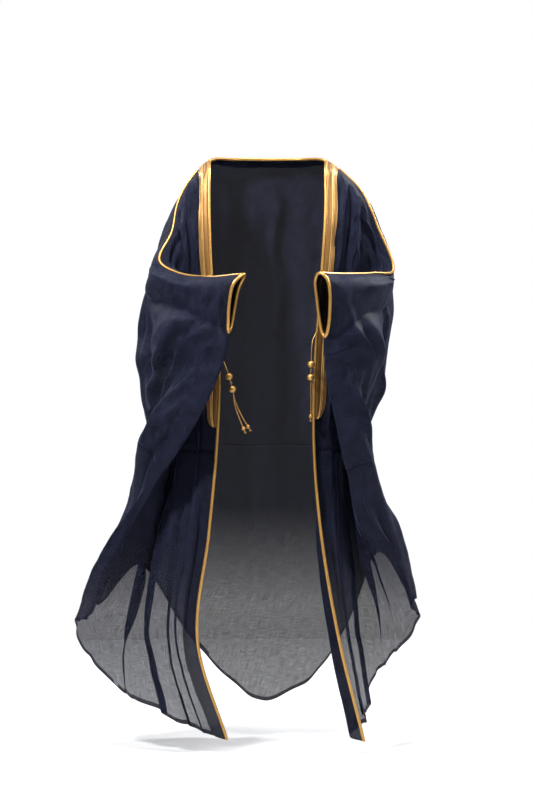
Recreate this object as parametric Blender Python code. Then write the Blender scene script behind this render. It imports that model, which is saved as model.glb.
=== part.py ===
"""Bisht cloak, worn open over bent forearms, as a hollow garment.

Lengths are metres, +Z is up and the front faces -Y. The wearer's right is at -X.
The origin is on the neck line, midway between the neck ends of the shoulder seams.
The cloth is one sheet that runs from the right front edge, round the right side
fold, the back and the left side fold, to the left front edge.
"""
import math

import bmesh
import bpy
import numpy as np
from mathutils import Vector

# Driving sizes.
NECK_HEIGHT = 1.515  # ground to the neck ends of the shoulder seams
WALL = 0.0016  # doubled and pressed edges aside, the thickness of the cloth solid
GAP = 0.0003  # clearance between two sewn pieces
JOIN_STEP = 0.2  # levels or guides beside a seam that give the cloth's direction there
LEAST_SLANT = 0.2  # sine of the sharpest angle between a column and a seam
EDGE_CORD = 0.0080  # diameter of the piping round the front edges and the neck
SEAM_CORD = 0.0070  # diameter of the cord on the shoulder and arm seams
CUFF_CORD = 0.0084  # diameter of the cord round the sleeve mouths
SEAM_CORD_STOP = 0.0100  # clearance of a slanting seam cord's end from the cuff cord
MOUTH_SPREAD = 0.7  # how far back from the lips the mouth widens the sleeve, in guides
MOUTHS = {  # from the slit line to the inner lip of each sleeve mouth: out and back
    "right": (-0.008, 0.022),
    "left": (-0.017, 0.013),
}
BAND_WIDTH = 0.038  # gold band beside the front edges and round the neck
BAND_BASE = WALL / 2 + 0.0008  # underside of the band above the middle of the cloth
BAND_RELIEF = (0.0008, 0.0016, 0.0009, 0.0016, 0.0009, 0.0019, 0.0019, 0.0008)
BAND_END_LEVEL = {"right": 4.72, "left": 4.62}  # lower ends of the front bands
BAND_END_ROUND = 0.30  # length of the rounded end, in levels
CORD = 0.0026  # diameter of the tassel cords
EXIT_GAP = 0.0016  # from the piping to the middle of a tassel cord that leaves almost along it
CORD_POINTS = 2.8  # spacing of a cord's points, in diameters
BEAD = 0.0200  # diameter of the large tassel beads
BEAD_BORE = 0.0040
END_KNOT = 0.0105  # diameter of the knots at the cord ends
ROUND_START = (0.60, 0.22)  # share of the first drop run sideways and down off a seam

# Levels down the cloth: seam line 0, just off the seam 1, breast 2, waist 3, hip 4,
# join 5, thigh 6, shin 7 and hem 8.
JOIN_LEVEL = 5.0  # the horizontal seam between the two loom widths
MOUTH_LEVEL = 2.0  # the lower tip of each sleeve mouth
HEM_LEVEL = 8.0
ROWS_BETWEEN_LEVELS = (3, 3, 3, 3, 3, 4, 4, 4)

# The seam line, as out from the middle, back and height above the ground. Its places
# are nape 0, neck side 1, neck 2, shoulder 3, cap 4, arm 5, elbow 6, crook 7, forearm 8
# and cuff 9.
SEAM_LINE = {
    "right": (
        (0.000, 0.070, 1.525), (0.085, 0.056, 1.524), (0.152, 0.000, 1.515),
        (0.201, -0.005, 1.466), (0.232, -0.012, 1.406), (0.247, -0.030, 1.330),
        (0.278, -0.060, 1.256), (0.233, -0.100, 1.223), (0.160, -0.155, 1.209),
        (0.060, -0.280, 1.210),
    ),
    "left": (
        (0.000, 0.070, 1.525), (0.085, 0.056, 1.524), (0.150, 0.000, 1.515),
        (0.209, -0.005, 1.471), (0.245, -0.012, 1.430), (0.281, -0.032, 1.345),
        (0.321, -0.050, 1.231), (0.268, -0.100, 1.221), (0.197, -0.180, 1.215),
        (0.128, -0.280, 1.213),
    ),
}

# A row for each guide line down the cloth, from the front edge to the middle of the
# back: its name, its place on the seam line, then out, back and height at each level
# after the seam line (breast, waist, hip, join, thigh, shin, hem).
GUIDES = {
    "right": (
        ("edge", 2.00, (0.150, -0.095, 1.375), (0.142, -0.115, 1.190), (0.124, -0.125, 0.980),
         (0.131, -0.125, 0.770), (0.150, -0.130, 0.560), (0.179, -0.130, 0.290), (0.104, -0.120, 0.035)),
        ("turn", 2.30, (0.166, -0.092, 1.368), (0.155, -0.107, 1.185), (0.140, -0.118, 0.978),
         (0.146, -0.119, 0.770), (0.166, -0.128, 0.560), (0.194, -0.128, 0.288), (0.122, -0.124, 0.040)),
        ("strip", 3.00, (0.196, -0.080, 1.340), (0.178, -0.088, 1.170), (0.170, -0.100, 0.970),
         (0.175, -0.105, 0.770), (0.195, -0.115, 0.560), (0.224, -0.118, 0.280), (0.155, -0.122, 0.052)),
        ("chest", 4.30, (0.208, -0.082, 1.270), (0.198, -0.072, 1.130), (0.198, -0.055, 0.950),
         (0.204, -0.060, 0.770), (0.232, -0.080, 0.570), (0.268, -0.085, 0.310), (0.207, -0.105, 0.072)),
        ("pocket", 5.60, (0.232, -0.058, 1.180), (0.230, -0.026, 1.050), (0.230, 0.000, 0.920),
         (0.245, 0.005, 0.770), (0.275, 0.005, 0.580), (0.312, 0.000, 0.340), (0.268, -0.065, 0.103)),
        ("inner arm", 7.80, (0.148, -0.138, 1.120), (0.163, -0.134, 1.010), (0.217, -0.115, 0.880),
         (0.277, -0.080, 0.750), (0.332, -0.040, 0.590), (0.392, -0.010, 0.370), (0.384, -0.008, 0.152)),
        ("side fold", 9.00, (0.097, -0.270, 1.066), (0.120, -0.255, 0.970), (0.183, -0.215, 0.840),
         (0.268, -0.150, 0.710), (0.350, -0.080, 0.580), (0.440, -0.020, 0.430), (0.496, 0.030, 0.284)),
        ("outer arm", 7.80, (0.203, -0.200, 1.120), (0.222, -0.200, 1.020), (0.258, -0.175, 0.900),
         (0.308, -0.130, 0.780), (0.345, -0.068, 0.650), (0.426, 0.000, 0.490), (0.482, 0.058, 0.335)),
        ("elbow", 6.10, (0.318, -0.055, 1.160), (0.313, -0.050, 1.040), (0.315, -0.030, 0.910),
         (0.312, -0.010, 0.780), (0.328, 0.020, 0.660), (0.394, 0.055, 0.520), (0.428, 0.090, 0.375)),
        ("side", 4.90, (0.295, 0.045, 1.220), (0.300, 0.085, 1.070), (0.295, 0.095, 0.920),
         (0.295, 0.105, 0.790), (0.310, 0.125, 0.680), (0.330, 0.148, 0.580), (0.340, 0.178, 0.462)),
        ("blade", 3.30, (0.245, 0.090, 1.320), (0.250, 0.135, 1.130), (0.240, 0.155, 0.960),
         (0.230, 0.170, 0.790), (0.228, 0.190, 0.620), (0.232, 0.218, 0.450), (0.238, 0.245, 0.310)),
        ("neck", 2.00, (0.165, 0.100, 1.385), (0.165, 0.150, 1.180), (0.150, 0.170, 0.980),
         (0.135, 0.185, 0.780), (0.128, 0.205, 0.570), (0.124, 0.233, 0.345), (0.122, 0.264, 0.158)),
    ),
    "left": (
        ("edge", 2.00, (0.146, -0.095, 1.375), (0.134, -0.115, 1.190), (0.119, -0.125, 0.980),
         (0.117, -0.125, 0.770), (0.134, -0.144, 0.560), (0.180, -0.158, 0.290), (0.243, -0.152, 0.035)),
        ("turn", 2.30, (0.162, -0.092, 1.370), (0.148, -0.107, 1.190), (0.134, -0.118, 0.980),
         (0.134, -0.113, 0.770), (0.122, -0.121, 0.558), (0.155, -0.134, 0.285), (0.207, -0.130, 0.045)),
        ("strip", 3.00, (0.205, -0.078, 1.340), (0.178, -0.085, 1.170), (0.165, -0.100, 0.970),
         (0.163, -0.105, 0.770), (0.166, -0.106, 0.560), (0.194, -0.112, 0.280), (0.243, -0.108, 0.080)),
        ("chest", 4.30, (0.228, -0.080, 1.260), (0.202, -0.068, 1.130), (0.186, -0.054, 0.950),
         (0.180, -0.055, 0.770), (0.187, -0.050, 0.570), (0.212, -0.055, 0.330), (0.250, -0.062, 0.100)),
        ("pocket", 5.60, (0.252, -0.058, 1.165), (0.234, -0.026, 1.050), (0.212, -0.002, 0.910),
         (0.195, 0.015, 0.760), (0.207, 0.012, 0.570), (0.228, 0.004, 0.360), (0.257, -0.008, 0.130)),
        ("inner arm", 7.80, (0.180, -0.143, 1.120), (0.182, -0.146, 1.010), (0.197, -0.130, 0.870),
         (0.214, -0.100, 0.730), (0.240, -0.058, 0.590), (0.288, -0.018, 0.410), (0.303, 0.012, 0.225)),
        ("side fold", 9.00, (0.141, -0.272, 1.055), (0.145, -0.262, 0.965), (0.168, -0.235, 0.850),
         (0.198, -0.190, 0.720), (0.228, -0.135, 0.600), (0.308, -0.055, 0.470), (0.372, 0.020, 0.290)),
        ("outer arm", 7.80, (0.248, -0.195, 1.110), (0.250, -0.200, 0.990), (0.248, -0.185, 0.870),
         (0.256, -0.145, 0.750), (0.284, -0.090, 0.630), (0.344, -0.025, 0.500), (0.384, 0.045, 0.370)),
        ("elbow", 6.10, (0.318, -0.045, 1.140), (0.282, -0.045, 1.000), (0.264, -0.035, 0.870),
         (0.250, -0.010, 0.750), (0.278, 0.025, 0.650), (0.340, 0.060, 0.530), (0.370, 0.095, 0.385)),
        ("side", 4.90, (0.316, 0.050, 1.200), (0.292, 0.085, 1.050), (0.272, 0.090, 0.910),
         (0.254, 0.095, 0.780), (0.262, 0.115, 0.680), (0.280, 0.145, 0.590), (0.294, 0.172, 0.495)),
        ("blade", 3.30, (0.255, 0.090, 1.320), (0.255, 0.135, 1.130), (0.235, 0.155, 0.960),
         (0.215, 0.170, 0.790), (0.207, 0.190, 0.620), (0.206, 0.218, 0.450), (0.212, 0.246, 0.300)),
        ("neck", 2.00, (0.165, 0.100, 1.385), (0.165, 0.150, 1.180), (0.150, 0.170, 0.980),
         (0.135, 0.185, 0.780), (0.128, 0.205, 0.570), (0.124, 0.233, 0.345), (0.122, 0.264, 0.158)),
    ),
}
MIDDLE_BACK = ("middle", 0.00, (0.000, 0.125, 1.385), (0.000, 0.165, 1.180), (0.000, 0.180, 0.980),
               (0.000, 0.190, 0.780), (0.000, 0.208, 0.565), (0.000, 0.238, 0.315), (0.000, 0.272, 0.095))

# Places along the whole sheet, counted in guides from the right front edge.
RIGHT_FOLD = 6
RIGHT_SIDE = 9
MIDDLE = 12
LEFT_SIDE = 15
LEFT_FOLD = 18
LEFT_EDGE = 24
# The columns of front and back start from the same places on the seam line.
COLUMN_PLACES = (2.0, 2.15, 2.3, 2.65, 3.0, 3.3, 3.7, 4.1, 4.5, 4.9, 5.25, 5.6, 5.9, 6.15, 6.5, 7.0,
                 7.4, 7.8, 8.2, 8.6, 8.85, 9.0)
NECK_COLUMN_PLACES = (0.0, 0.34, 0.67, 1.0, 1.34, 1.67)

# A row for each large fold: the guide and level where its ridge starts, the guide and
# level where it ends, its half width in guides, and how far it stands out (or in).
FOLDS = (
    (1.9, 0.4, 3.2, 2.6, 0.32, 0.012),
    (2.7, 0.3, 3.9, 2.2, 0.28, -0.009),
    (2.4, 2.6, 2.7, 8.0, 0.34, -0.010),
    (3.2, 3.4, 3.3, 8.0, 0.30, 0.016),
    (4.5, 4.4, 4.4, 8.0, 0.26, 0.020),
    (5.2, 4.6, 5.1, 8.0, 0.24, -0.016),
    (6.4, 1.5, 8.5, 3.8, 0.36, 0.017),
    (6.3, 2.4, 8.4, 5.2, 0.34, -0.016),
    (6.4, 3.4, 8.0, 6.8, 0.32, 0.018),
    (6.7, 4.8, 7.3, 8.0, 0.26, -0.013),
    (8.0, 0.7, 9.0, 3.0, 0.30, -0.012),
    (8.7, 0.9, 8.5, 5.2, 0.30, 0.015),
    (15.4, 0.9, 15.7, 4.6, 0.30, 0.015),
    (16.0, 0.7, 15.0, 3.0, 0.30, -0.012),
    (17.6, 1.6, 15.6, 4.0, 0.36, 0.018),
    (17.6, 2.6, 15.7, 5.4, 0.34, -0.016),
    (17.7, 3.8, 16.3, 7.0, 0.30, 0.015),
    (17.2, 5.0, 16.9, 8.0, 0.26, -0.012),
    (18.9, 4.8, 19.0, 8.0, 0.26, 0.016),
    (19.5, 4.8, 19.6, 8.0, 0.22, -0.013),
    (21.3, 0.3, 20.1, 2.2, 0.28, -0.009),
    (22.0, 0.4, 20.8, 2.6, 0.32, 0.013),
)
# A row for each pleat down the back: its guide, the level where it starts, its half
# width in guides, and how far it stands out at the hem.
BACK_PLEATS = (
    (9.5, 1.5, 0.30, 0.020),
    (10.1, 2.2, 0.24, -0.014),
    (10.7, 1.2, 0.30, 0.024),
    (11.35, 1.9, 0.24, 0.017),
    (11.9, 1.4, 0.28, -0.016),
    (12.45, 1.6, 0.28, 0.022),
    (13.1, 2.3, 0.24, 0.015),
    (13.7, 1.3, 0.30, -0.016),
    (14.3, 1.7, 0.28, 0.021),
)

# Cord routes, with heights above the ground. Each main cord leaves the piping of a front
# edge at its first point, and each second cord leaves the main cord between two beads.
TASSELS = {
    "right": {
        "main": ((-0.1255, -0.1320, 1.030), (-0.1195, -0.1390, 1.012), (-0.1100, -0.1440, 0.990),
                 (-0.0985, -0.1470, 0.957), (-0.0900, -0.1490, 0.925), (-0.0840, -0.1500, 0.898),
                 (-0.0740, -0.1500, 0.873), (-0.0630, -0.1490, 0.851), (-0.0535, -0.1480, 0.835)),
        "second": ((-0.0880, -0.1528, 0.9110), (-0.0860, -0.1536, 0.895), (-0.0795, -0.1545, 0.870),
                   (-0.0710, -0.1550, 0.848), (-0.0640, -0.1560, 0.831)),
    },
    "left": {
        "main": ((0.1200, -0.1320, 1.070), (0.1130, -0.1400, 1.048), (0.1100, -0.1450, 1.020),
                 (0.1090, -0.1475, 0.988), (0.1080, -0.1485, 0.955), (0.1080, -0.1490, 0.925),
                 (0.1085, -0.1490, 0.895), (0.1080, -0.1490, 0.862)),
        "second": ((0.1112, -0.1488, 0.9410), (0.1128, -0.1500, 0.920), (0.1132, -0.1505, 0.893),
                   (0.1113, -0.1494, 0.862)),
    },
}
BEAD_POINTS = (3, 4)  # the route points of each main cord that carry its beads

COLOURS = {
    "cloth": (0.028, 0.031, 0.047, 1.0),
    "gold_cord": (0.60, 0.36, 0.11, 1.0),
    "gold_band": (0.52, 0.31, 0.10, 1.0),
    "gold_bead": (0.50, 0.29, 0.09, 1.0),
}


def clear_scene():
    for item in list(bpy.data.objects):
        bpy.data.objects.remove(item, do_unlink=True)


def make_materials():
    made = {}
    for name, colour in COLOURS.items():
        material = bpy.data.materials.new(name)
        material.use_nodes = True
        shader = material.node_tree.nodes["Principled BSDF"]
        shader.inputs["Base Color"].default_value = colour
        shader.inputs["Metallic"].default_value = 0.0 if name == "cloth" else 0.6
        shader.inputs["Roughness"].default_value = 0.75 if name == "cloth" else 0.42
        made[name] = material
    return made


def through(points, places):
    """The centripetal curve through points along their first axis, at places counted in points."""
    step = np.linalg.norm(np.diff(points, axis=0), axis=-1, keepdims=True)
    step = np.sqrt(np.maximum(step, 1e-4))
    slope = np.diff(points, axis=0) / step
    inner = (slope[:-1] * step[1:] + slope[1:] * step[:-1]) / (step[1:] + step[:-1])
    tangent = np.concatenate([slope[:1], inner, slope[-1:]])
    places = np.clip(places, 0, len(points) - 1)
    at = np.minimum(places.astype(int), len(points) - 2)
    t = (places - at).reshape((-1,) + (1,) * (points.ndim - 1))
    start = (2 * t**3 - 3 * t**2 + 1) * points[at] + (t**3 - 2 * t**2 + t) * step[at] * tangent[at]
    end = (3 * t**2 - 2 * t**3) * points[at + 1] + (t**3 - t**2) * step[at] * tangent[at + 1]
    return start + end


def seam_line(side, places):
    """Points of a side's seam line, from the nape (0) to the cuff (9)."""
    line = through(np.array(SEAM_LINE[side]), np.asarray(places, float))
    return placed(line, side)


def placed(points, side):
    """Points with out and height turned into X and Z."""
    moved = np.array(points, float)
    moved[..., 0] *= 1.0 if side == "left" else -1.0
    moved[..., 2] -= NECK_HEIGHT
    return moved


def guide_rows():
    """Every guide from the right front edge to the left one: (side, seam place, points)."""
    right = [("right", row[1], placed(row[2:], "right")) for row in GUIDES["right"]]
    middle = ("left", MIDDLE_BACK[1], placed(MIDDLE_BACK[2:], "left"))
    left = [("left", row[1], placed(row[2:], "left")) for row in reversed(GUIDES["left"])]
    return right + [middle] + left


def seam_points(columns):
    """Where each column starts on the seam line."""
    rows = guide_rows()
    places = np.interp(columns, np.arange(len(rows)), [row[1] for row in rows])
    right = seam_line("right", places)
    left = seam_line("left", places)
    return np.where((columns <= MIDDLE)[:, None], right, left)


def mouth_opening(columns, levels, lip):
    """How far the sleeve mouth moves the cloth, towards the body (lip +1) or away (-1)."""
    moved = np.zeros((len(columns), len(levels), 3))
    height = np.clip(levels / MOUTH_LEVEL, 0.0, 1.0)
    swell = np.sqrt(np.sin(math.pi * height).clip(0.0))
    for fold, side in ((RIGHT_FOLD, "right"), (LEFT_FOLD, "left")):
        out, back = MOUTHS[side]
        across = np.array((out if side == "left" else -out, back, 0.0))
        near = np.exp(-(((columns - fold) / MOUTH_SPREAD) ** 2))
        moved += lip * near[:, None, None] * swell[None, :, None] * across
    return moved


def smooth(values):
    """0 below 0, 1 above 1, and a soft rise between."""
    values = np.clip(values, 0.0, 1.0)
    return values * values * (3 - 2 * values)


def fold_heights(columns, levels):
    """How far the folds stand out of the plain sheet."""
    column, level = np.meshgrid(columns, levels, indexing="ij")
    height = np.zeros_like(column)
    for start, top, end, bottom, half_width, depth in FOLDS:
        share = (level - top) / (bottom - top)
        ridge = start + (end - start) * share
        ends = smooth(share / 0.3)
        if bottom < HEM_LEVEL:
            ends = ends * smooth((1 - share) / 0.3)
        height += depth * ends * np.exp(-(((column - ridge) / half_width) ** 2))
    for pleat, top, half_width, depth in BACK_PLEATS:
        ridge = np.exp(-(((column - pleat) / half_width) ** 2))
        height += depth * smooth((level - top) / (HEM_LEVEL - top)) * ridge
    return height


def plain_cloth(columns, levels):
    """Points of the sheet without its folds and sleeve mouths."""
    below = through(np.array([row[2] for row in guide_rows()]), columns)
    top = seam_points(columns)
    drop = below[:, 0] - top
    sideways, down = ROUND_START
    round_off = top + drop * (sideways, sideways, down)
    lines = np.concatenate([top[:, None], round_off[:, None], below], axis=1)
    return np.swapaxes(through(np.swapaxes(lines, 0, 1), levels), 0, 1)


def outward(surface, columns, levels):
    """Directions square to a surface, away from the body."""
    step = 0.02
    across = surface(columns + step, levels) - surface(columns - step, levels)
    down = surface(columns, levels + step) - surface(columns, levels - step)
    return unit(np.cross(across, down))


def cloth(columns, levels, lip):
    """Points in the middle of the cloth, by column (in guides) and level."""
    columns = np.asarray(columns, float)
    levels = np.asarray(levels, float)
    folds = outward(plain_cloth, columns, levels) * fold_heights(columns, levels)[..., None]
    return plain_cloth(columns, levels) + folds + mouth_opening(columns, levels, lip)


def unit(vectors):
    return vectors / np.maximum(np.linalg.norm(vectors, axis=-1, keepdims=True), 1e-12)


def point_directions(points):
    """Directions out of a grid at its points, from the facets beside each point."""
    facets = np.cross(points[1:, 1:] - points[:-1, :-1], points[:-1, 1:] - points[1:, :-1])
    around = np.pad(unit(facets), ((1, 1), (1, 1), (0, 0)))
    return unit(around[1:, 1:] + around[1:, :-1] + around[:-1, 1:] + around[:-1, :-1])


def between(places, first, last):
    """Which places lie from first to last."""
    return (places > first - 1e-6) & (places < last + 1e-6)


def wall_directions(columns, levels, lip):
    """Directions out of a panel, shared with the panels sewn to it, but not across a sleeve mouth."""
    sheet_columns = all_columns(0, LEFT_EDGE)
    sheet_levels = all_levels(0, HEM_LEVEL)
    sheet = point_directions(cloth(sheet_columns, sheet_levels, lip))
    in_panel = between(sheet_columns, columns[0], columns[-1])
    first, last = (RIGHT_FOLD, LEFT_FOLD) if lip < 0 else (columns[0], columns[-1])
    one_side = all_columns(first, last)
    alone = point_directions(cloth(one_side, sheet_levels, lip))[between(one_side, columns[0], columns[-1])]
    beside_mouth = sheet_levels <= MOUTH_LEVEL
    directions = np.where(beside_mouth[:, None], alone, sheet[in_panel])
    return directions[:, between(sheet_levels, levels[0], levels[-1])]


def steps(counts, first, last):
    """Places from first to last, with counts of steps between whole numbers."""
    places = [float(first)]
    for index in range(int(first), int(last)):
        places += [index + (step + 1) / counts[index] for step in range(counts[index])]
    return np.array(places)


def half_columns(side):
    """Columns of one half, from its front edge to the middle back, in guides."""
    places = [row[1] for row in GUIDES[side]]
    front = np.interp(COLUMN_PLACES, places[:RIGHT_FOLD + 1], range(RIGHT_FOLD + 1))
    back_places = [0.0] + places[:RIGHT_FOLD - 1:-1]
    from_middle = np.interp(NECK_COLUMN_PLACES + COLUMN_PLACES[:-1], back_places, range(RIGHT_FOLD + 1))
    return np.concatenate([front, MIDDLE - from_middle[::-1]])


def all_columns(first, last):
    right = half_columns("right")
    left = LEFT_EDGE - half_columns("left")[-2::-1]
    columns = np.concatenate([right, left])
    return columns[between(columns, first, last)]


def all_levels(first, last):
    return steps(ROWS_BETWEEN_LEVELS, first, last)


def from_edge(values, edge):
    """A grid's values as lines that start at one edge."""
    return {"first": values, "last": values[::-1], "top": values.swapaxes(0, 1),
            "bottom": values[:, ::-1].swapaxes(0, 1)}[edge]


def pull_in(points, normals, edge, distances, inward=None):
    """Draws one edge of a panel in along the cloth, by distances square to both facets beside each point."""
    grid = from_edge(points, edge)
    if inward is None:
        inward = grid[1] - grid[0]
    inward = unit(inward)
    out = from_edge(normals, edge)[0]
    runs = np.diff(grid[0], axis=0)
    before = np.concatenate([runs[:1], runs])
    after = np.concatenate([runs, runs[-1:]])
    slants = [abs(np.sum(inward * unit(np.cross(run, out)), axis=1)) for run in (before, after)]
    moved = np.broadcast_to(distances, len(inward)) / np.maximum(np.minimum(*slants), LEAST_SLANT)
    grid[0] += inward * moved[:, None]


def new_object(name, mesh_data, material):
    item = bpy.data.objects.new(name, mesh_data)
    bpy.context.scene.collection.objects.link(item)
    item.data.materials.append(material)
    return item


def closed_mesh(name, under, over):
    """A closed solid between two grids of points."""
    count_across, count_down = under.shape[:2]
    mesh = bmesh.new()
    low = [[mesh.verts.new(point) for point in column] for column in under]
    high = [[mesh.verts.new(point) for point in column] for column in over]
    for i in range(count_across - 1):
        for j in range(count_down - 1):
            mesh.faces.new((high[i][j], high[i + 1][j], high[i + 1][j + 1], high[i][j + 1]))
            mesh.faces.new((low[i][j], low[i][j + 1], low[i + 1][j + 1], low[i + 1][j]))
    rim = [(i, 0) for i in range(count_across)]
    rim += [(count_across - 1, j) for j in range(1, count_down)]
    rim += [(i, count_down - 1) for i in range(count_across - 2, -1, -1)]
    rim += [(0, j) for j in range(count_down - 2, 0, -1)]
    for (a, b), (c, d) in zip(rim, rim[1:] + rim[:1]):
        mesh.faces.new((high[a][b], low[a][b], low[c][d], high[c][d]))
    bmesh.ops.recalc_face_normals(mesh, faces=mesh.faces)
    data = bpy.data.meshes.new(name)
    mesh.to_mesh(data)
    mesh.free()
    data.shade_smooth()
    return data


def lip_distances(levels):
    """How far the cloth stops short of a side fold: clear of the cuff cord, then a fine gap."""
    return np.where(levels <= MOUTH_LEVEL, CUFF_CORD / 2 + GAP, GAP / 2)


def panel_grid(first, last, top, bottom, lip):
    """One cloth panel's points, drawn in from its cords and seams, and their directions out."""
    columns = all_columns(first, last)
    levels = all_levels(top, bottom)
    points = cloth(columns, levels, lip)
    normals = wall_directions(columns, levels, lip)
    for edge, column, inward in (("first", first, 1), ("last", last, -1)):
        if column in (0, LEFT_EDGE):
            pull_in(points, normals, edge, EDGE_CORD / 2 + GAP)
        elif column in (RIGHT_FOLD, LEFT_FOLD):
            pull_in(points, normals, edge, lip_distances(levels))
        else:
            across_seam = cloth([column + JOIN_STEP], levels, lip) - cloth([column - JOIN_STEP], levels, lip)
            pull_in(points, normals, edge, GAP / 2, inward * across_seam[0])
    if top == 0:
        on_neck = abs(columns - MIDDLE) < 1 + 1e-6
        pull_in(points, normals, "top", np.where(on_neck, EDGE_CORD, SEAM_CORD) / 2 + GAP)
    across_join = cloth(columns, [JOIN_LEVEL + JOIN_STEP], lip) - cloth(columns, [JOIN_LEVEL - JOIN_STEP], lip)
    if top == JOIN_LEVEL:
        pull_in(points, normals, "top", GAP / 2, across_join[:, 0])
    if bottom == JOIN_LEVEL:
        pull_in(points, normals, "bottom", GAP / 2, -across_join[:, 0])
    return points, normals


PANELS = (  # name, first and last guide, top and bottom level, side of the sleeve mouths
    ("right_front_upper", 0, RIGHT_FOLD, 0, JOIN_LEVEL, 1),
    ("right_front_lower", 0, RIGHT_FOLD, JOIN_LEVEL, HEM_LEVEL, 1),
    ("right_sleeve", RIGHT_FOLD, RIGHT_SIDE, 0, JOIN_LEVEL, -1),
    ("back_upper", RIGHT_SIDE, LEFT_SIDE, 0, JOIN_LEVEL, -1),
    ("left_sleeve", LEFT_SIDE, LEFT_FOLD, 0, JOIN_LEVEL, -1),
    ("back_lower", RIGHT_FOLD, LEFT_FOLD, JOIN_LEVEL, HEM_LEVEL, -1),
    ("left_front_upper", LEFT_FOLD, LEFT_EDGE, 0, JOIN_LEVEL, 1),
    ("left_front_lower", LEFT_FOLD, LEFT_EDGE, JOIN_LEVEL, HEM_LEVEL, 1),
)


def make_panels(materials):
    """The cloth panels. Returns each panel's grid, for what is sewn on it."""
    grids = {}
    for name, first, last, top, bottom, lip in PANELS:
        points, normals = panel_grid(first, last, top, bottom, lip)
        half = normals * WALL / 2
        new_object(name, closed_mesh(name, points - half, points + half), materials["cloth"])
        grids[name] = points, normals
    return grids


def tube(name, points, diameter, material, closed=False, resolution=1):
    """A round cord through points, as a bevelled curve with filled ends."""
    data = bpy.data.curves.new(name, "CURVE")
    data.dimensions = "3D"
    data.bevel_depth = diameter / 2
    data.bevel_resolution = resolution
    data.use_fill_caps = True
    line = data.splines.new("POLY")
    line.points.add(len(points) - 1)
    for knot, point in zip(line.points, points):
        knot.co = (*point, 1.0)
    line.use_cyclic_u = closed
    line.use_smooth = True
    return new_object(name, data, material)


def spaced(points, spacing):
    """Points at an even spacing along a line of points."""
    reach = np.concatenate([[0.0], np.cumsum(np.linalg.norm(np.diff(points, axis=0), axis=1))])
    wanted = np.linspace(0.0, reach[-1], max(2, round(reach[-1] / spacing)) + 1)
    return np.column_stack([np.interp(wanted, reach, points[:, axis]) for axis in range(3)])


def make_edge_piping(materials):
    """One cord up the right front edge, round the neck and down the left front edge."""
    levels = all_levels(0, HEM_LEVEL)
    right = cloth([0.0], levels, 1)[0][::-1]
    left = cloth([float(LEFT_EDGE)], levels, 1)[0]
    neck = cloth(all_columns(MIDDLE - 1, MIDDLE + 1)[1:-1], [0.0], -1)[:, 0]
    line = np.concatenate([right, neck, left])
    tube("edge_piping", line, EDGE_CORD, materials["gold_cord"])


def make_seam_cords(materials):
    """A cord on each shoulder and arm seam, from the neck band to the cuff cord."""
    for side in ("right", "left"):
        line = seam_line(side, COLUMN_PLACES)
        reach = np.concatenate([[0.0], np.cumsum(np.linalg.norm(np.diff(line, axis=0), axis=1))])
        start = BAND_WIDTH + SEAM_CORD / 4
        end = reach[-1] - CUFF_CORD / 2 - SEAM_CORD_STOP
        inside = reach[(reach > start + SEAM_CORD) & (reach < end - SEAM_CORD)]
        kept = np.concatenate([[start], inside, [end]])
        points = np.column_stack([np.interp(kept, reach, line[:, axis]) for axis in range(3)])
        tube(f"arm_seam_cord_{side}", points, SEAM_CORD, materials["gold_cord"])


def make_cuff_cords(materials):
    """A cord round each sleeve mouth."""
    levels = all_levels(0, MOUTH_LEVEL)
    for side, fold in (("right", RIGHT_FOLD), ("left", LEFT_FOLD)):
        inner = cloth([float(fold)], levels, 1)[0]
        outer = cloth([float(fold)], levels, -1)[0]
        loop = np.concatenate([inner, outer[-2:0:-1]])
        tube(f"cuff_cord_{side}", loop, CUFF_CORD, materials["gold_cord"], closed=True)


def on_grid(grid, normals, column, row, height):
    """A point over a panel's grid, at fractional column and row, moved out by height."""
    i = min(int(column), grid.shape[0] - 2)
    j = min(int(row), grid.shape[1] - 2)
    s = column - i
    t = row - j
    found = []
    for values in (grid, normals):
        near = values[i, j] * (1 - t) + values[i, j + 1] * t
        far = values[i + 1, j] * (1 - t) + values[i + 1, j + 1] * t
        found.append(near * (1 - s) + far * s)
    return found[0] + height * found[1] / np.linalg.norm(found[1])


def column_at(grid, row, distance):
    """The fractional column that lies at a distance from a panel's first column."""
    j = min(int(row), grid.shape[1] - 2)
    t = row - j
    line = grid[:, j] * (1 - t) + grid[:, j + 1] * t
    reach = np.concatenate([[0.0], np.cumsum(np.linalg.norm(np.diff(line, axis=0), axis=1))])
    return float(np.interp(distance, reach, np.arange(len(reach))))


def make_front_bands(grids, materials):
    """A gold band beside each front edge, with raised stripes along it and a rounded lower end."""
    levels = all_levels(0, JOIN_LEVEL)
    for side in ("right", "left"):
        grid, normals = grids[f"{side}_front_upper"]
        if side == "left":
            grid, normals = grid[::-1], normals[::-1]
        end_row = np.interp(BAND_END_LEVEL[side], levels, np.arange(len(levels)))
        round_row = np.interp(BAND_END_LEVEL[side] - BAND_END_ROUND, levels, np.arange(len(levels)))
        rows = list(range(int(round_row) + 1)) + list(np.linspace(round_row, end_row, 5)[1:])
        under = []
        over = []
        for stripe, relief in enumerate(BAND_RELIEF):
            share = stripe / (len(BAND_RELIEF) - 1)
            low_line = []
            high_line = []
            for row in rows:
                bend = max(0.0, (row - round_row) / (end_row - round_row))
                width = (BAND_WIDTH - EDGE_CORD) * (0.25 + 0.75 * math.sqrt(1 - bend**2))
                column = column_at(grid, row, GAP + width * (1 - share))
                low_line.append(on_grid(grid, normals, column, row, BAND_BASE))
                high_line.append(on_grid(grid, normals, column, row, BAND_BASE + relief))
            under.append(low_line)
            over.append(high_line)
        name = f"gold_band_{side}"
        mesh = closed_mesh(name, np.array(under), np.array(over))
        new_object(name, mesh, materials["gold_band"])


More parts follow.
